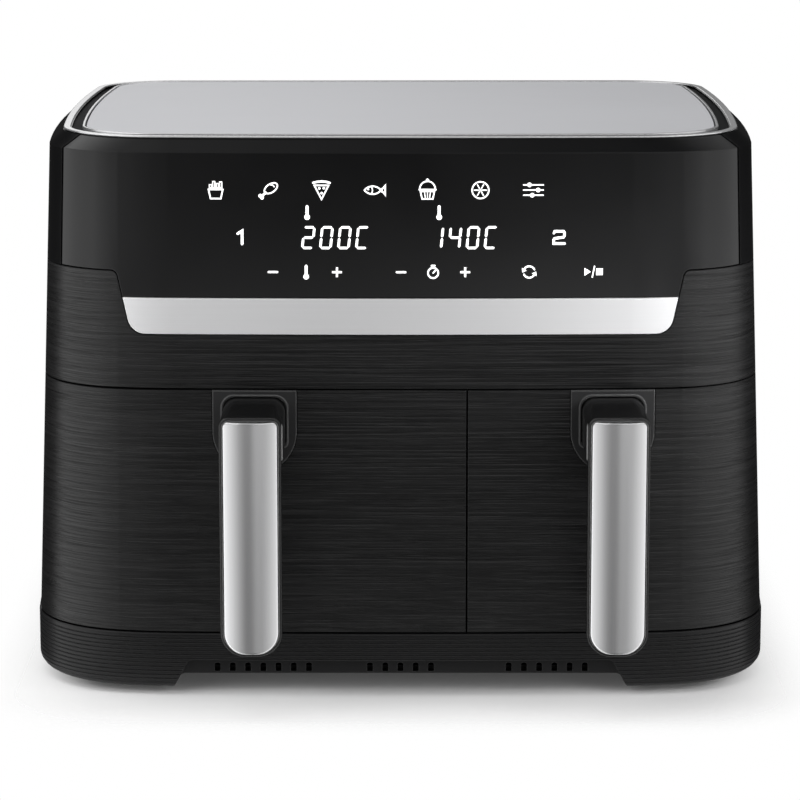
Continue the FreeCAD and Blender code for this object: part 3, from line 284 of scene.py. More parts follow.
def mould_grain():
    """Fine pebble of moulded plastic or a baked coat, with cells per metre."""
    tree, entry, leave = new_effect("Mould grain", {"Cells": 1800.0}, {"Grain": "NodeSocketFloat"})
    place = tree.nodes.new("ShaderNodeTexCoord")
    noise = tree.nodes.new("ShaderNodeTexNoise")
    noise.inputs["Detail"].default_value = 2.0
    tree.links.new(place.outputs["Object"], noise.inputs["Vector"])
    tree.links.new(entry.outputs["Cells"], noise.inputs["Scale"])
    tree.links.new(noise.outputs["Fac"], leave.inputs["Grain"])
    return tree


EDGE_SAMPLES = 6
# How alike the rounded and the flat normal are where an edge counts in full
EDGE_MATCH = 0.85


def soft_edges():
    """Normal that rounds sharp edges off over a radius, and a mask of where the edges are."""
    tree, entry, leave = new_effect(
        "Soft edges", {"Radius": 0.0005}, {"Normal": "NodeSocketVector", "Edge": "NodeSocketFloat"}
    )
    bevel = tree.nodes.new("ShaderNodeBevel")
    bevel.samples = EDGE_SAMPLES
    flat = tree.nodes.new("ShaderNodeNewGeometry")
    match = tree.nodes.new("ShaderNodeVectorMath")
    match.operation = "DOT_PRODUCT"
    edge = tree.nodes.new("ShaderNodeMapRange")
    edge.inputs["From Min"].default_value = 1.0
    edge.inputs["From Max"].default_value = EDGE_MATCH
    tree.links.new(entry.outputs["Radius"], bevel.inputs["Radius"])
    tree.links.new(bevel.outputs["Normal"], match.inputs[0])
    tree.links.new(flat.outputs["Normal"], match.inputs[1])
    tree.links.new(match.outputs["Value"], edge.inputs["Value"])
    tree.links.new(bevel.outputs["Normal"], leave.inputs["Normal"])
    tree.links.new(edge.outputs["Result"], leave.inputs["Edge"])
    return tree


def handling_marks():
    """Broad faint smears, as hands and cloths leave them."""
    tree, entry, leave = new_effect("Handling marks", {"Cells": 14.0}, {"Smear": "NodeSocketFloat"})
    place = tree.nodes.new("ShaderNodeTexCoord")
    noise = tree.nodes.new("ShaderNodeTexNoise")
    noise.inputs["Detail"].default_value = 5.0
    noise.inputs["Distortion"].default_value = 0.6
    tree.links.new(place.outputs["Object"], noise.inputs["Vector"])
    tree.links.new(entry.outputs["Cells"], noise.inputs["Scale"])
    tree.links.new(noise.outputs["Fac"], leave.inputs["Smear"])
    return tree


class Effects:
    """The shared effects, each built once."""

    def __init__(self):
        self.hairlines = hairlines()
        self.grain = mould_grain()
        self.edges = soft_edges()
        self.marks = handling_marks()


def lightened(colour, amount):
    """A colour moved towards white."""
    return tuple(c + (1.0 - c) * amount for c in colour)


# Share of the fine lines in the relief of the casings
FINE_SHARE = 0.45


def textured_black(effects, look):
    """Black casing with irregular level lines pressed into it."""
    f = Finish("Textured black")
    lines = f.effect(
        effects.hairlines,
        {"Cells X": 1 / look.line_run, "Cells Y": 1 / look.line_run, "Cells Z": 1 / look.line_pitch},
    )
    edges = f.effect(effects.edges, {"Radius": look.edge_round})
    height = f.node("ShaderNodeMath", operation="MULTIPLY_ADD")
    height.inputs[1].default_value = FINE_SHARE
    f.join(lines.outputs["Fine"], height.inputs[0])
    f.join(lines.outputs["Lines"], height.inputs[2])
    f.set({"Specular IOR Level": 0.42})
    f.blend(lines.outputs["Lines"], look.body_black, look.body_line, "Base Color")
    f.spread(lines.outputs["Fine"], 0.24, 0.36, "Roughness")
    f.relief(height.outputs["Value"], look.line_depth, edges.outputs["Normal"])
    return f.material


def moulded_black(effects, name, colour, edge_round, roughness, grain_depth, gloss, edge_light=0.02):
    """Smooth black moulding with a fine grain, and a highlight painted into its colour along the edges."""
    f = Finish(name)
    grain = f.effect(effects.grain, {"Cells": 1500.0})
    marks = f.effect(effects.marks, {"Cells": 18.0})
    edges = f.effect(effects.edges, {"Radius": edge_round})
    f.set({"Specular IOR Level": gloss})
    # Painted highlight: the base colour is lightened along the edge mask, where light would catch the
    # edges
    f.blend(edges.outputs["Edge"], colour, lightened(colour, edge_light), "Base Color")
    f.spread(marks.outputs["Smear"], roughness - 0.05, roughness + 0.06, "Roughness")
    f.relief(grain.outputs["Grain"], grain_depth, edges.outputs["Normal"])
    return f.material


def mouldings(effects, look):
    """Every smooth black moulding."""
    moulded = partial(moulded_black, effects)
    # The last amount in each call sets how far that moulding's edges are lightened as a painted highlight
    moulded(
        "Satin black", look.satin_black, look.edge_round,
        roughness=0.3, grain_depth=0.02 * MM, gloss=0.3, edge_light=0.04,
    )
    moulded(
        "Smooth black", look.panel_black, 0.2 * MM,
        roughness=0.12, grain_depth=0.003 * MM, gloss=0.35,
    )
    moulded(
        "Deck black", look.satin_black, look.edge_round,
        roughness=0.62, grain_depth=0.03 * MM, gloss=0.1,
    )
    moulded(
        "Plain moulding", look.satin_black, look.edge_round,
        roughness=0.5, grain_depth=0.05 * MM, gloss=0.35,
    )
    moulded(
        "Shield black", look.shield_black, look.handle_round,
        roughness=0.3, grain_depth=0.01 * MM, gloss=0.35, edge_light=0.05,
    )
    moulded(
        "Handle black", look.handle_black, look.handle_round,
        roughness=0.16, grain_depth=0.003 * MM, gloss=0.25, edge_light=0.35,
    )


def gloss_panel(effects, look):
    """Polished black panel with faint smears."""
    f = Finish("Gloss panel")
    f.set({"Specular IOR Level": 0.44})
    marks = f.effect(effects.marks, {"Cells": 10.0})
    edges = f.effect(effects.edges, {"Radius": look.edge_round})
    f.blend(marks.outputs["Smear"], look.panel_black, lightened(look.panel_black, 0.004), "Base Color")
    f.spread(marks.outputs["Smear"], 0.05, 0.13, "Roughness")
    f.join(edges.outputs["Normal"], "Normal")
    return f.material


def brushed_silver(effects, look, name, edge_round, cells, roughness, metal):
    """Brushed metal finish with its lines along one axis."""
    f = Finish(name)
    f.set({"Metallic": metal})
    lines = f.effect(effects.hairlines, dict(zip(("Cells X", "Cells Y", "Cells Z"), cells)))
    edges = f.effect(effects.edges, {"Radius": edge_round})
    dark = tuple(c * 0.97 for c in look.silver)
    f.blend(lines.outputs["Fine"], dark, lightened(look.silver, 0.03), "Base Color")
    f.spread(lines.outputs["Lines"], roughness - 0.02, roughness + 0.03, "Roughness")
    f.relief(lines.outputs["Fine"], 0.002 * MM, edges.outputs["Normal"])
    return f.material


def bright_trim(effects, look):
    """Polished bright metal."""
    f = Finish("Bright trim")
    f.set({"Metallic": 0.8})
    marks = f.effect(effects.marks, {"Cells": 30.0})
    edges = f.effect(effects.edges, {"Radius": look.edge_round})
    f.blend(marks.outputs["Smear"], (0.86, 0.86, 0.87), (0.93, 0.93, 0.94), "Base Color")
    f.spread(marks.outputs["Smear"], 0.1, 0.2, "Roughness")
    f.join(edges.outputs["Normal"], "Normal")
    return f.material


def grey_top(effects, look):
    """Satin grey plate."""
    f = Finish("Grey top")
    f.set({"Metallic": 0.3})
    lines = f.effect(effects.hairlines, {"Cells X": 8.0, "Cells Y": 900.0, "Cells Z": 8.0})
    marks = f.effect(effects.marks, {"Cells": 9.0})
    f.blend(lines.outputs["Fine"], tuple(c * 0.97 for c in look.top_grey), look.top_grey, "Base Color")
    f.spread(marks.outputs["Smear"], 0.4, 0.5, "Roughness")
    f.relief(lines.outputs["Lines"], 0.01 * MM)
    return f.material


def rubber(effects, name, colour, cells):
    """Matte rubber or silicone with a fine grain."""
    f = Finish(name)
    grain = f.effect(effects.grain, {"Cells": cells})
    f.blend(grain.outputs["Grain"], colour, lightened(colour, 0.05), "Base Color")
    f.spread(grain.outputs["Grain"], 0.65, 0.85, "Roughness")
    f.relief(grain.outputs["Grain"], 0.05 * MM)
    return f.material


# Heights of the grain between which a fleck goes from none to full
FLECK_RANGE = (0.68, 0.74)


def nonstick_coat(effects):
    """Dark baked coat with pale flecks."""
    f = Finish("Nonstick coat")
    grain = f.effect(effects.grain, {"Cells": 900.0})
    flecks = f.effect(effects.grain, {"Cells": 650.0})
    pick = f.node("ShaderNodeMapRange")
    pick.inputs["From Min"].default_value = FLECK_RANGE[0]
    pick.inputs["From Max"].default_value = FLECK_RANGE[1]
    f.join(flecks.outputs["Grain"], pick.inputs["Value"])
    f.blend(pick.outputs["Result"], (0.022, 0.022, 0.024), (0.09, 0.09, 0.092), "Base Color")
    f.spread(grain.outputs["Grain"], 0.3, 0.46, "Roughness")
    f.relief(grain.outputs["Grain"], 0.04 * MM)
    return f.material


# Colour, roughness and lines per metre along each axis of the bare metals
METALS = {
    "Sheet steel": ((0.5, 0.5, 0.5), 0.34, (20.0, 1200.0, 20.0)),
    "Heater tube": ((0.16, 0.14, 0.13), 0.42, (300.0, 300.0, 300.0)),
    "Motor case": ((0.3, 0.3, 0.31), 0.4, (30.0, 30.0, 900.0)),
    "Bush bronze": ((0.55, 0.36, 0.16), 0.38, (40.0, 40.0, 1500.0)),
    "Turned steel": ((0.48, 0.48, 0.48), 0.25, (40.0, 40.0, 2500.0)),
    "Fan metal": ((0.6, 0.6, 0.6), 0.3, (500.0, 500.0, 30.0)),
    "Screw steel": ((0.42, 0.42, 0.42), 0.3, (800.0, 800.0, 800.0)),
}


def bare_metal(effects, name, colour, roughness, cells):
    """Bare metal with rolling or turning lines."""
    f = Finish(name)
    f.set({"Metallic": 1.0})
    lines = f.effect(effects.hairlines, dict(zip(("Cells X", "Cells Y", "Cells Z"), cells)))
    marks = f.effect(effects.marks, {"Cells": 25.0})
    f.blend(marks.outputs["Smear"], tuple(c * 0.85 for c in colour), lightened(colour, 0.08), "Base Color")
    f.spread(lines.outputs["Fine"], roughness - 0.06, roughness + 0.08, "Roughness")
    f.relief(lines.outputs["Fine"], 0.02 * MM)
    return f.material


def circuit_board(effects):
    """Green board with darker and lighter runs of track."""
    f = Finish("Circuit board")
    tracks = f.effect(effects.hairlines, {"Cells X": 160.0, "Cells Y": 160.0, "Cells Z": 160.0})
    f.blend(tracks.outputs["Lines"], (0.01, 0.06, 0.025), (0.025, 0.14, 0.06), "Base Color")
    f.spread(tracks.outputs["Fine"], 0.25, 0.4, "Roughness")
    f.relief(tracks.outputs["Lines"], 0.05 * MM)
    return f.material


def lit_symbol(effects, panel):
    """White light through the panel, a little uneven."""
    f = Finish("Lit symbol")
    marks = f.effect(effects.marks, {"Cells": 60.0})
    f.set({"Base Color": (0.8, 0.8, 0.8), "Emission Strength": panel.glow_strength})
    f.blend(marks.outputs["Smear"], tuple(c * 0.93 for c in panel.glow), panel.glow, "Emission Color")
    f.spread(marks.outputs["Smear"], 0.3, 0.4, "Roughness")
    return f.material


def coat(finishes, prefixes=("",)):
    """Gives the CAD nodes listed under each finish that finish, once for each prefix of their names."""
    for finish, nodes in finishes.items():
        for node in nodes:
            for prefix in prefixes:
                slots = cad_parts[prefix + node].data.materials
                slots.clear()
                slots.append(bpy.data.materials[finish])


# Flat symbols, drawn in millimetres round their own middle

def arc(centre, radius, start, end, steps=16):
    """Points along an arc, with angles in degrees."""
    points = []
    for i in range(steps + 1):
        angle = math.radians(start + (end - start) * i / steps)
        points.append((centre[0] + radius * math.cos(angle), centre[1] + radius * math.sin(angle)))
    return points


def angles(count):
    """Evenly spaced angles round a circle, in radians."""
    return [2 * math.pi * i / count for i in range(count)]


# Least share of a corner's straight width, so that sharp corners don't run out to long points
MITRE_LIMIT = 0.35


def ribbon(points, width, closed=False):
    """The two sides of a line of some width, mitred at its corners."""
    count = len(points)
    sides = ([], [])
    for i, here in enumerate(points):
        before = points[i - 1] if closed or i else None
        after = points[(i + 1) % count] if closed or i < count - 1 else None
        here = Vector(here)
        ways = []
        if before is not None:
            ways.append((here - Vector(before)).normalized())
        if after is not None:
            ways.append((Vector(after) - here).normalized())
        across = sum((Vector((-w.y, w.x)) for w in ways), Vector((0, 0))).normalized()
        first = Vector((-ways[0].y, ways[0].x))
        reach = width / 2 / max(MITRE_LIMIT, across.dot(first))
        sides[0].append(here + across * reach)
        sides[1].append(here - across * reach)
    return sides


class Sketch:
    """Flat closed shapes, later laid on the panel as thin plates."""

    def __init__(self, line):
        self.line = line
        self.plates = []
        self.rings = []

    def fill(self, points):
        """A filled outline, run anticlockwise."""
        self.plates.append([Vector(p) for p in points])

    def stroke(self, points, width=None):
        """An open line with round ends."""
        width = width or self.line
        left, right = ribbon(points, width)
        loop = list(right)
        for end, side in ((-1, left), (0, right)):
            middle = Vector(points[end])
            spoke = (right if side is left else left)[end] - middle
            for turn in (45, 90, 135):
                loop.append(middle + Matrix.Rotation(math.radians(turn), 2) @ spoke)
            if side is left:
                loop.extend(reversed(left))
        self.plates.append(loop)

    def loop(self, points, width=None):
        """A closed line."""
        left, right = ribbon(points, width or self.line, closed=True)
        self.rings.append((right, left))

    def dot(self, centre, radius):
        """A filled disc."""
        self.fill(arc(centre, radius, 0, 360, 20)[:-1])

    def circle(self, centre, radius, width=None):
        """A ring."""
        self.loop(arc(centre, radius, 0, 360, 32)[:-1], width)


def fries(s):
    """Cup of chips."""
    s.loop([(-2.6, -4.4), (2.6, -4.4), (3.6, 0.2), (-3.6, 0.2)])
    for x, top in ((-2.6, 2.6), (-0.9, 4.2), (0.9, 3.2), (2.6, 4.0)):
        s.loop([(x - 0.55, 1.0), (x + 0.55, 1.0), (x + 0.55, top), (x - 0.55, top)], 0.5)


def drumstick(s):
    """Leg of poultry."""
    s.loop([(1.2 + 3.3 * math.cos(a), 0.9 + 2.7 * math.sin(a + 0.5)) for a in angles(28)])
    s.stroke([(-1.4, -1.3), (-3.4, -3.1)], 1.2)
    s.dot((-4.2, -2.9), 0.95)
    s.dot((-3.3, -3.9), 0.95)
    s.stroke(arc((1.4, 1.1), 1.5, 20, 100, 8), 0.6)


def pizza_slice(s):
    """Slice of pizza."""
    s.loop([(0.0, -4.6), (3.6, 2.4), (-3.6, 2.4)])
    s.stroke([(-4.2, 3.7), (-2.2, 4.2), (0.0, 4.35), (2.2, 4.2), (4.2, 3.7)], 1.1)
    for place in ((-1.1, 0.9), (1.2, 1.0), (0.1, -1.5)):
        s.dot(place, 0.65)


def fish(s):
    """Fish with a forked tail."""
    upper = arc((-0.9, -3.4), 5.4, 35, 140, 12)
    lower = arc((-0.9, 3.4), 5.4, 220, 325, 12)
    s.loop(lower + upper)
    s.loop([(3.4, 0.0), (5.4, -2.3), (5.4, 2.3)])
    s.dot((-3.2, 0.5), 0.55)
    s.stroke(arc((-3.4, 0.0), 2.4, -40, 40, 8), 0.55)


def cupcake(s):
    """Small cake in a pleated case."""
    s.loop([(-2.7, -4.4), (2.7, -4.4), (3.5, -0.6), (-3.5, -0.6)])
    for x in (-1.2, 0.0, 1.2):
        s.stroke([(x * 0.95, -3.7), (x * 1.2, -1.4)], 0.5)
    s.loop([(4.1, 0.3)] + arc((0, 0.6), 3.9, 8, 172, 16) + [(-4.1, 0.3)])
    s.dot((0.0, 5.1), 0.8)


def fruit_slice(s):
    """Round slice of fruit with its segments."""
    s.circle((0, 0), 4.2)
    for a in angles(6):
        tip = Vector((math.cos(a), math.sin(a)))
        s.stroke([tip * 0.9, tip * 3.1], 0.6)
    s.dot((0, 0), 0.45)


def sliders(s):
    """Three set levels, for a setting by hand."""
    for y, knob in ((2.6, -2.0), (0.0, 2.4), (-2.6, -0.6)):
        s.stroke([(-5.0, y), (5.0, y)], 0.65)
        s.dot((knob, y), 1.15)


def thermometer(s):
    """Bulb and stem."""
    s.stroke([(0, -1.8), (0, 3.0)], 1.5)
    s.dot((0, -2.3), 1.45)


def minus(s):
    """Minus sign."""
    s.stroke([(-2.2, 0), (2.2, 0)], 1.05)


def plus(s):
    """Plus sign as one outline."""
    arm, half = 2.5, 0.52
    s.fill(
        [
            (half, -arm), (half, -half), (arm, -half), (arm, half), (half, half), (half, arm),
            (-half, arm), (-half, half), (-arm, half), (-arm, -half), (-half, -half), (-half, -arm),
        ]
    )


def timer(s):
    """Stopwatch."""
    s.circle((0, -0.4), 2.6, 0.85)
    s.stroke([(0, -0.4), (1.1, 0.8)], 0.7)
    s.stroke([(-0.8, 3.3), (0.8, 3.3)], 0.9)


def round_arrows(s):
    """Two arrows that chase each other."""
    for turn in (0, 180):
        s.stroke(arc((0, 0), 2.9, turn + 25, turn + 150, 14), 0.85)
        spin = Matrix.Rotation(math.radians(turn + 150), 2)
        head = [Vector((1.5, 0.0)), Vector((4.3, 0.0)), Vector((2.9, 2.0))]
        s.fill([spin @ p for p in head])


def start_and_stop(s):
    """Triangle to start, bar between, square to stop."""
    s.fill([(-4.4, -2.0), (-1.2, 0.0), (-4.4, 2.0)])
    s.stroke([(-0.5, -2.8), (0.7, 2.8)], 0.6)
    s.fill([(1.5, -1.7), (4.9, -1.7), (4.9, 1.7), (1.5, 1.7)])


def figure_one(s):
    """The number of the left drawer."""
    s.stroke([(-1.7, 1.9), (0.5, 3.3), (0.5, -3.3)], 1.35)


def figure_two(s):
    """The number of the right drawer."""
    top = [(-2.6, 2.2), (-2.2, 3.1), (2.2, 3.1), (2.7, 2.5), (2.7, 0.9), (2.2, 0.1)]
    s.stroke(top + [(-2.2, -0.5), (-2.7, -1.2), (-2.7, -3.1), (2.8, -3.1)], 1.3)


# Bars that light for each sign, the width of a bar and the gap at its ends in millimetres, and the lean of
# a digit to the right for each millimetre of height
SEGMENTS = {"0": "abcdef", "1": "bc", "2": "abged", "4": "fgbc", "C": "afed"}
DIGIT_BAR = 1.25
DIGIT_GAP = 0.12
DIGIT_LEAN = 0.1


def segment_ends(width, height):
    """Where each bar of a display digit starts and ends, round the digit's middle."""
    x = (width - DIGIT_BAR) / 2
    y = (height - DIGIT_BAR) / 2
    return {
        "a": ((-x, y), (x, y)),
        "b": ((x, y), (x, 0)),
        "c": ((x, 0), (x, -y)),
        "d": ((-x, -y), (x, -y)),
        "e": ((-x, 0), (-x, -y)),
        "f": ((-x, y), (-x, 0)),
        "g": ((-x, 0), (x, 0)),
    }


def display_digit(s, sign, width, height):
    """A leaning seven-bar digit, each bar pointed at its ends."""
    ends = segment_ends(width, height)
    for bar in SEGMENTS[sign]:
        start, end = (Vector(p) for p in ends[bar])
        along = (end - start).normalized()
        across = Vector((-along.y, along.x)) * DIGIT_BAR / 2
        tip = along * DIGIT_GAP
        neck = along * (DIGIT_GAP + DIGIT_BAR / 2)
        loop = [start + tip, start + neck - across, end - neck - across]
        loop += [end - tip, end - neck + across, start + neck + across]
        s.fill([(p.x + DIGIT_LEAN * p.y, p.y) for p in loop])


class PanelFace:
    """The front of the control panel, for laying symbols on."""

    def __init__(self):
        graph = bpy.context.evaluated_depsgraph_get()
        self.tree = BVHTree.FromObject(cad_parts["control_panel"], graph)

    def point(self, x, z, proud):
        """The point of the face at x and z, moved forward by proud."""
        hit = self.tree.ray_cast(Vector((x, CAD_BOX[0].y - 1.0, z)), Vector((0, 1, 0)))[0]
        if hit is None:
            raise RuntimeError(f"no panel at x {x:.4f} z {z:.4f}")
        return hit - Vector((0, proud, 0))


def close_wall(bm, front, back):
    """Side faces between two loops."""
    for i in range(len(front)):
        j = (i + 1) % len(front)
        bm.faces.new((front[i], back[i], back[j], front[j]))


def lay_sketch(bm, face, sketch, x, z, lift):
    """Lays a sketch on the panel round a point, as closed plates sunk a little into it."""

    def loops(points):
        front = []
        back = []
        for p in points:
            at_x, at_z = x + p[0] * MM, z + p[1] * MM
            front.append(bm.verts.new(face.point(at_x, at_z, lift)))
            back.append(bm.verts.new(face.point(at_x, at_z, -lift / 2)))
        return front, back

    for points in sketch.plates:
        front, back = loops(points)
        bm.faces.new(front)
        bm.faces.new(back[::-1])
        close_wall(bm, front, back)
    for outer, inner in sketch.rings:
        outer_front, outer_back = loops(outer)
        inner_front, inner_back = loops(inner)
        close_wall(bm, outer_front, outer_back)
        close_wall(bm, inner_back, inner_front)
        close_wall(bm, inner_front, outer_front)
        close_wall(bm, outer_back, inner_back)


def symbol_piece(name, drawings, panel):
    """One piece of lit symbols from (function, x, z) drawings, riding on the chassis."""
    face = PanelFace()
    bm = bmesh.new()
    for draw, x, z in drawings:
        sketch = Sketch(panel.line / MM)
        draw(sketch)
        lay_sketch(bm, face, sketch, x, z, panel.lift)
    bmesh.ops.recalc_face_normals(bm, faces=bm.faces)
    mesh = bpy.data.meshes.new(name)
    bm.to_mesh(mesh)
    bm.free()
    mesh.materials.append(bpy.data.materials["Lit symbol"])
    piece = bpy.data.objects.new(name, mesh)
    bpy.context.scene.collection.objects.link(piece)
    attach(piece, "chassis")


# Operators

class AIRFRYER_OT_finishes(bpy.types.Operator):
    """Make every finish of the air fryer"""

    bl_idname = "airfryer.finishes"
    bl_label = "Make finishes"

    def execute(self, context):
        look = context.scene.airfryer_finish
        effects = Effects()
        textured_black(effects, look)
        mouldings(effects, look)
        gloss_panel(effects, look)
        silver = partial(brushed_silver, effects, look)
        silver("Silver strip", look.edge_round, cells=(6.0, 6.0, 2600.0), roughness=0.3, metal=0.7)
        silver("Silver cover", look.handle_round, cells=(2600.0, 40.0, 6.0), roughness=0.2, metal=1.0)
        bright_trim(effects, look)
        grey_top(effects, look)
        rubber(effects, "Rubber", colour=(0.016, 0.016, 0.016), cells=1200.0)
        rubber(effects, "Silicone", colour=(0.05, 0.05, 0.052), cells=900.0)
        nonstick_coat(effects)
        for name, (colour, roughness, cells) in METALS.items():
            bare_metal(effects, name, colour, roughness, cells)
        circuit_board(effects)
        lit_symbol(effects, context.scene.airfryer_panel)
        return {"FINISHED"}


CASING_FINISHES = {
    "Textured black": ("wrap_housing", "front_fascia"),
    "Satin black": ("base_pan", "rear_grille", "rear_spacers", "bay_frame"),
    "Deck black": ("top_deck",),
    "Smooth black": ("upper_housing",),
    "Gloss panel": ("control_panel", "display_modules"),
    "Silver strip": ("trim_strip",),
    "Bright trim": ("top_ring", "top_plate_rim"),
    "Grey top": ("top_plate",),
    "Rubber": ("rubber_feet", "cord_gland"),
    "Screw steel": ("base_screws",),
}
DRAWER_FINISHES = {
    "Textured black": ("drawer_front",),
    "Plain moulding": ("drawer_liner", "bowl_bracket"),
    "Nonstick coat": ("bowl", "crisper_plate"),
    "Silicone": ("plate_bumpers",),
    "Shield black": ("handle_shield",),
    "Handle black": ("handle_core",),
    "Silver cover": ("handle_cover",),
    "Screw steel": ("drawer_screws",),
}
INNER_FINISHES = {
    "Sheet steel": (
        "left_cavity", "right_cavity", "drawer_rails", "reflectors", "heater_guards", "exhaust_duct",
    ),
    "Heater tube": ("heaters",),
    "Motor case": ("motors",),
    "Bush bronze": ("motor_bushes",),
    "Turned steel": ("heat_probes", "left_motor_shaft", "right_motor_shaft"),
    "Fan metal": ("left_fan_wheel", "right_fan_wheel"),
    "Plain moulding": (
        "panel_carrier", "mid_deck", "drawer_sensors", "left_cooling_fan", "right_cooling_fan",
    ),
    "Circuit board": ("control_board", "power_board"),
}


class AIRFRYER_OT_casing(bpy.types.Operator):
    """Finish the casings, the top and the base"""

    bl_idname = "airfryer.casing"
    bl_label = "Finish casing"

    def execute(self, context):
        coat(CASING_FINISHES)
        return {"FINISHED"}


class AIRFRYER_OT_drawers(bpy.types.Operator):
    """Finish both drawers, their handles and their crisper plates"""

    bl_idname = "airfryer.drawers"
    bl_label = "Finish drawers"

    def execute(self, context):
        coat(DRAWER_FINISHES, SIDES)
        return {"FINISHED"}


class AIRFRYER_OT_inner_works(bpy.types.Operator):
    """Finish the cavities, heaters, fans, motors and boards"""

    bl_idname = "airfryer.inner_works"
    bl_label = "Finish inner works"

    def execute(self, context):
        coat(INNER_FINISHES)
        return {"FINISHED"}


class AIRFRYER_OT_food_symbols(bpy.types.Operator):
    """Lay the row of food symbols on the panel"""

    bl_idname = "airfryer.food_symbols"
    bl_label = "Lay food symbols"

    def execute(self, context):
        panel = context.scene.airfryer_panel
        row = (fries, drumstick, pizza_slice, fish, cupcake, fruit_slice, sliders)
        drawings = [
            (draw, panel.food_first_x + i * panel.food_pitch, panel.food_z) for i, draw in enumerate(row)
        ]
        symbol_piece("panel_food_symbols", drawings, panel)
        return {"FINISHED"}


# Readings with their left ends, the marks above them, and the drawers' numbers with their middles
READINGS = (("200C", -49.7 * MM), ("140C", 15.2 * MM))
READING_MARKS = ((-47.1 * MM, 250.0 * MM), (19.5 * MM, 250.0 * MM))
DRAWER_NUMBERS = ((figure_one, -80.5 * MM), (figure_two, 80.1 * MM))


class AIRFRYER_OT_numbers(bpy.types.Operator):
    """Lay the two readings, their marks and the drawers' numbers on the panel"""

    bl_idname = "airfryer.numbers"
    bl_label = "Lay numbers"

    def execute(self, context):
        panel = context.scene.airfryer_panel
        size = panel.digit_width / MM, panel.digit_height / MM
        drawings = []
        for reading, left in READINGS:
            for i, sign in enumerate(reading):
                x = left + panel.digit_width / 2 + i * panel.digit_pitch
                draw = partial(display_digit, sign=sign, width=size[0], height=size[1])
                drawings.append((draw, x, panel.number_z))
        drawings += [(thermometer, x, z) for x, z in READING_MARKS]
        drawings += [(draw, x, panel.number_z) for draw, x in DRAWER_NUMBERS]
        symbol_piece("panel_numbers", drawings, panel)
        return {"FINISHED"}


KEYS = (
    (minus, -64.5 * MM), (thermometer, -47.7 * MM), (plus, -32.1 * MM), (minus, 0.3 * MM),
    (timer, 16.5 * MM), (plus, 32.7 * MM), (round_arrows, 65.1 * MM), (start_and_stop, 97.5 * MM),
)


class AIRFRYER_OT_keys(bpy.types.Operator):
    """Lay the lower row of touch keys on the panel"""

    bl_idname = "airfryer.keys"
    bl_label = "Lay touch keys"

    def execute(self, context):
        panel = context.scene.airfryer_panel
        drawings = [(draw, x, panel.key_z) for draw, x in KEYS]
        symbol_piece("panel_keys", drawings, panel)
        return {"FINISHED"}


FLOOR_GLOW = 0.05
# Share of the fade's distance over which the floor is still whole
FADE_START = 0.15


def floor_finish(studio):
    """Pale matte that fades out round the object."""
    f = Finish("Pale floor")
    f.set({"Base Color": (0.8, 0.8, 0.8), "Roughness": 0.9, "Specular IOR Level": 0.1})
    f.set({"Emission Color": (1.0, 1.0, 1.0)})
    path = f.node("ShaderNodeLightPath").outputs
    seen = f.calc("MAXIMUM", path["Is Camera Ray"], path["Is Glossy Ray"])
    seen = f.calc("MAXIMUM", seen, path["Is Transmission Ray"])
    f.join(f.calc("MULTIPLY", seen, FLOOR_GLOW), "Emission Strength")
    place = f.node("ShaderNodeTexCoord").outputs["Object"]
    core = (studio.core_width, studio.core_depth, 0.0)
    for operation, other in (("ABSOLUTE", core), ("SUBTRACT", core), ("MAXIMUM", (0.0, 0.0, 0.0))):
        step = f.node("ShaderNodeVectorMath", operation=operation)
        step.inputs[1].default_value = other
        f.join(place, step.inputs[0])
        place = step.outputs["Vector"]
    far = f.node("ShaderNodeVectorMath", operation="LENGTH")
    f.join(place, far.inputs[0])
    fade = studio.floor_fade
    f.join(f.smooth(far.outputs["Value"], fade * FADE_START, fade, 1.0, 0.0), "Alpha")
    return f.material


def fading_floor(studio):
    """Floor that takes the object's shadow and reaches as far as its finish fades."""
    bm = bmesh.new()
    reach = max(studio.core_width, studio.core_depth) + studio.floor_fade
    bmesh.ops.create_grid(bm, x_segments=8, y_segments=8, size=reach)
    mesh = bpy.data.meshes.new("floor")
    bm.to_mesh(mesh)
    bm.free()
    mesh.materials.append(floor_finish(studio))
    floor = bpy.data.objects.new("floor", mesh)
    bpy.context.scene.collection.objects.link(floor)


# Name of each lamp, its place, the point it is aimed at, its size, its power in watts and its spread in
# degrees
LAMPS = (
    ("top_lamp", (-0.15, -0.1, 1.3), (0.0, 0.0, 0.2), 1.2, 10.5, 180.0),
    ("left_lamp", (-1.0, -1.0, 0.6), (0.0, 0.0, 0.15), 0.8, 4.5, 180.0),
    ("right_lamp", (1.0, -1.0, 0.6), (0.0, 0.0, 0.15), 0.8, 4.6, 180.0),
    ("left_strip_lamp", (-0.3, -0.26, 0.24), (-0.15, -0.15, 0.2), 0.1, 0.05, 60.0),
    ("right_strip_lamp", (0.3, -0.26, 0.24), (0.15, -0.15, 0.2), 0.1, 0.15, 60.0),
)


def area_lamp(name, place, target, size, power, spread):
    """Soft square lamp aimed at a point; the room's walls, not the lamps, show in gloss."""
    data = bpy.data.lights.new(name, "AREA")
    data.shape = "SQUARE"
    data.size = size
    data.energy = power
    data.spread = math.radians(spread)
    lamp = bpy.data.objects.new(name, data)
    lamp.location = place
    lamp.rotation_euler = (Vector(target) - Vector(place)).to_track_quat("-Z", "Y").to_euler()
    lamp.visible_glossy = False
    bpy.context.scene.collection.objects.link(lamp)


# Brightness of the room by the angle from straight in front: dim behind the camera, soft panels at the
# sides and dark screens past the object's flanks
ROOM_WALLS = (
    (0.0, 0.055), (8.0, 0.09), (13.0, 0.16), (20.0, 0.25), (26.0, 0.36), (36.0, 0.52), (47.0, 0.7),
    (60.0, 0.95), (76.0, 1.65), (90.0, 3.2), (100.0, 4.4), (109.0, 4.2), (112.0, 0.2), (115.0, 0.02),
    (150.0, 0.02), (180.0, 0.02),
)
# The walls are turned a little, to match the photo's reflections
ROOM_TURN = math.radians(1.2)
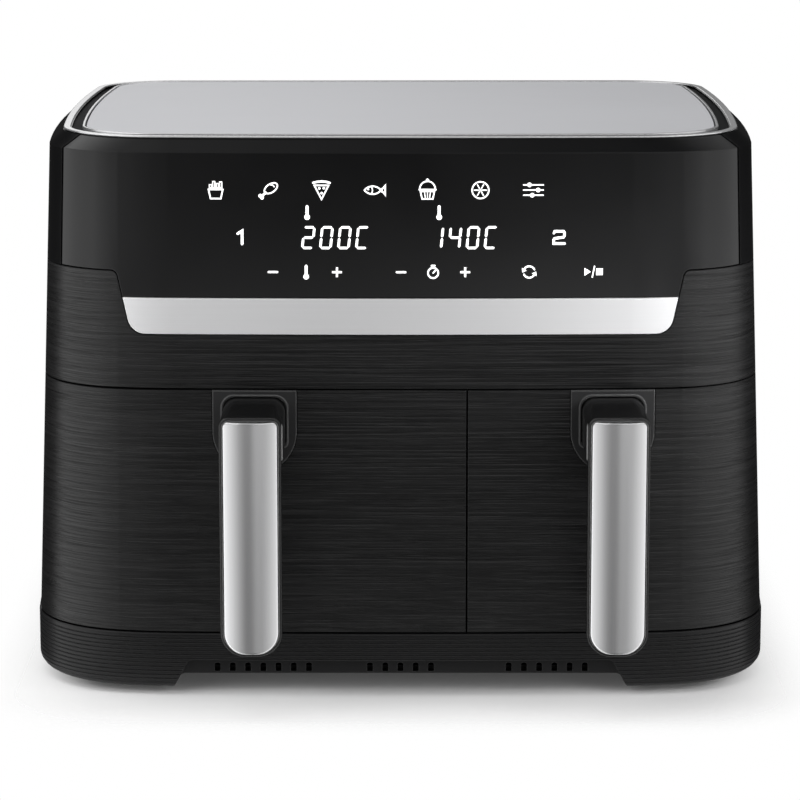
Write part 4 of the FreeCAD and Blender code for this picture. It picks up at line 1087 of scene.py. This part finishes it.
# Brightness of the ceiling from left to right
CEILING = (
    (-0.42, 1.2), (-0.35, 0.42), (-0.25, 0.34), (-0.14, 0.3), (0.0, 0.13), (0.1, 0.0), (0.3, 0.0),
    (0.42, 0.4),
)
# Soft steps of the room: where each starts and ends along its direction, and the gain or the light before
# and after it
WALL_SIDES = (-0.5, 0.5, 1.08, 0.87)
WALL_FOOT = (-0.22, -0.12, 1.25, 1.0)
WALL_LIMIT = (-0.08, 0.08, 5.0, 0.5)
WALL_TOP = (0.55, 0.85, 1.0, 0.0)
CEILING_RIM = (0.45, 0.58, 0.0, 1.0)
CANOPY_SIDES = (-0.05, 0.14, 0.6, 1.2)
CANOPY_BACK = (0.1, 0.3, 0.0, 1.0)
CANOPY_FOOT = (0.3, 0.5, 0.0, 1.0)
CANOPY_TOP = (0.78, 0.88, 1.0, 0.0)
BENCH_SIDES = (-0.05, 0.14, 0.46, 0.85)
BENCH_ENDS = (0.8, 0.95, 0.0, 1.0)
BENCH_FOOT = (-0.2, -0.12, 0.35, 1.0)
BENCH_TOP = (-0.1, -0.04, 1.0, 0.0)
BACKDROP_SIDES = (-0.08, 0.08, 1.0, 0.2)
BACKDROP_FRONT = (0.9, 0.96, 0.0, 1.0)
BACKDROP_FOOT = (0.04, 0.12, 0.0, 1.0)
BACKDROP_ENDS = (0.14, 0.22, 1.0, 0.0)


def light_ramp(n, value, first, last, lights):
    """Light read from (place, light) pairs, with places from first to last."""
    ramp = n.node("ShaderNodeValToRGB")
    ramp.color_ramp.interpolation = "B_SPLINE"
    stops = ramp.color_ramp.elements
    while len(stops) < len(lights):
        stops.new(1.0)
    for stop, (place, light) in zip(stops, lights):
        stop.position = (place - first) / (last - first)
        stop.color = (light, light, light, 1.0)
    n.join(n.calc("DIVIDE", n.calc("SUBTRACT", value, first), last - first), ramp.inputs["Fac"])
    return ramp.outputs["Color"]


def room_walls(n, way, ahead):
    """Light of the walls, by the angle from straight in front, and dim above eye level."""
    turn = n.calc("ADD", n.calc("ARCTAN2", way["X"], ahead), ROOM_TURN)
    turn = n.calc("DIVIDE", n.calc("ABSOLUTE", turn), math.radians(1.0))
    walls = light_ramp(n, turn, 0.0, 180.0, ROOM_WALLS)
    walls = n.masked(walls, way["X"], *WALL_SIDES)
    walls = n.masked(walls, way["Z"], *WALL_FOOT)
    walls = n.calc("MINIMUM", walls, n.smooth(way["Z"], *WALL_LIMIT))
    return n.masked(walls, way["Z"], *WALL_TOP)


def room_ceiling(n, way):
    """Light of the ceiling, brighter towards both sides."""
    ceiling = light_ramp(n, way["X"], -1.0, 1.0, CEILING)
    return n.masked(ceiling, way["Z"], *CEILING_RIM)


def room_canopy(n, way, ahead):
    """Soft panel above and in front of the object, brighter to the right."""
    canopy = n.smooth(way["X"], *CANOPY_SIDES)
    canopy = n.masked(canopy, ahead, *CANOPY_BACK)
    canopy = n.masked(canopy, way["Z"], *CANOPY_FOOT)
    return n.masked(canopy, way["Z"], *CANOPY_TOP)


def bench_glow(n, way, ahead):
    """Pale bench in front of the object, seen low down and brighter to the right."""
    glow = n.smooth(way["X"], *BENCH_SIDES)
    glow = n.masked(glow, ahead, *BENCH_ENDS)
    glow = n.masked(glow, way["Z"], *BENCH_TOP)
    return n.masked(glow, way["Z"], *BENCH_FOOT)


def mirrored_backdrop(n, way, glossy):
    """Pale backdrop behind the object, for reflections only and brighter to the left."""
    backdrop = n.masked(glossy, way["X"], *BACKDROP_SIDES)
    backdrop = n.masked(backdrop, way["Y"], *BACKDROP_FRONT)
    backdrop = n.masked(backdrop, way["Z"], *BACKDROP_FOOT)
    return n.masked(backdrop, n.calc("ABSOLUTE", way["X"]), *BACKDROP_ENDS)


def studio_world():
    """Plain room of soft panels for light and reflections, and a white backdrop for the camera."""
    world = bpy.data.worlds.new("Studio")
    bpy.context.scene.world = world
    world.use_nodes = True
    world.node_tree.nodes.clear()
    n = Nodes(world.node_tree)
    split = n.node("ShaderNodeSeparateXYZ")
    n.join(n.node("ShaderNodeTexCoord").outputs["Generated"], split.inputs[0])
    way = split.outputs
    ahead = n.calc("MULTIPLY", way["Y"], -1.0)
    room = n.calc("ADD", room_walls(n, way, ahead), room_ceiling(n, way))
    room = n.calc("MAXIMUM", room, room_canopy(n, way, ahead))
    room = n.calc("MAXIMUM", room, bench_glow(n, way, ahead))
    path = n.node("ShaderNodeLightPath").outputs
    room = n.calc("MAXIMUM", room, mirrored_backdrop(n, way, path["Is Glossy Ray"]))
    shown = n.node("ShaderNodeMix")
    n.join(n.calc("MAXIMUM", path["Is Camera Ray"], path["Is Transmission Ray"]), shown.inputs["Factor"])
    n.join(room, shown.inputs["A"])
    shown.inputs["B"].default_value = 1.0
    light = n.node("ShaderNodeBackground")
    light.inputs["Color"].default_value = (1.0, 1.0, 1.0, 1.0)
    n.join(shown.outputs["Result"], light.inputs["Strength"])
    n.join(light.outputs[0], n.node("ShaderNodeOutputWorld").inputs["Surface"])


CLIP_START = 0.05


def studio_camera(studio):
    """Camera at the angle of the photo."""
    data = bpy.data.cameras.new("camera")
    data.lens = studio.lens_mm
    data.clip_start = CLIP_START
    data.shift_x = studio.camera_shift
    camera = bpy.data.objects.new("camera", data)
    camera.location = (0.0, -studio.camera_distance, studio.camera_height)
    camera.rotation_euler = (math.pi / 2 - studio.camera_pitch, 0.0, 0.0)
    bpy.context.scene.collection.objects.link(camera)
    bpy.context.scene.camera = camera


class AIRFRYER_OT_studio(bpy.types.Operator):
    """Set the floor, the room, the lamps and the camera"""

    bl_idname = "airfryer.studio"
    bl_label = "Set studio"

    def execute(self, context):
        studio = context.scene.airfryer_studio
        fading_floor(studio)
        studio_world()
        for lamp in LAMPS:
            area_lamp(*lamp)
        studio_camera(studio)
        context.scene.view_settings.view_transform = "Standard"
        return {"FINISHED"}


OPERATORS = (
    AIRFRYER_OT_finishes,
    AIRFRYER_OT_casing,
    AIRFRYER_OT_drawers,
    AIRFRYER_OT_inner_works,
    AIRFRYER_OT_food_symbols,
    AIRFRYER_OT_numbers,
    AIRFRYER_OT_keys,
    AIRFRYER_OT_studio,
)


SETTINGS = {
    "airfryer_finish": AirFryerFinish,
    "airfryer_panel": AirFryerPanel,
    "airfryer_studio": AirFryerStudio,
}


class AIRFRYER_PT_sidebar(bpy.types.Panel):
    """Lists the steps and the settings of the air fryer"""

    bl_idname = "AIRFRYER_PT_sidebar"
    bl_label = "Air fryer"
    bl_space_type = "VIEW_3D"
    bl_region_type = "UI"
    bl_category = "Air fryer"

    def draw(self, context):
        for operator in OPERATORS:
            self.layout.operator(operator.bl_idname)
        for group, cls in SETTINGS.items():
            for name in cls.__annotations__:
                self.layout.prop(getattr(context.scene, group), name)


def register():
    """Make the settings, the steps and the panel known."""
    for cls in (*SETTINGS.values(), *OPERATORS, AIRFRYER_PT_sidebar):
        bpy.utils.register_class(cls)
    for name, cls in SETTINGS.items():
        setattr(bpy.types.Scene, name, PointerProperty(type=cls))


def unregister():
    """Take them away again."""
    for name in SETTINGS:
        delattr(bpy.types.Scene, name)
    for cls in reversed((*SETTINGS.values(), *OPERATORS, AIRFRYER_PT_sidebar)):
        bpy.utils.unregister_class(cls)


def main():
    """Register everything and run each step in order."""
    register()
    bpy.ops.airfryer.finishes()
    bpy.ops.airfryer.casing()
    bpy.ops.airfryer.drawers()
    bpy.ops.airfryer.inner_works()
    bpy.ops.airfryer.food_symbols()
    bpy.ops.airfryer.numbers()
    bpy.ops.airfryer.keys()
    bpy.ops.airfryer.studio()


if __name__ == "__main__":
    main()
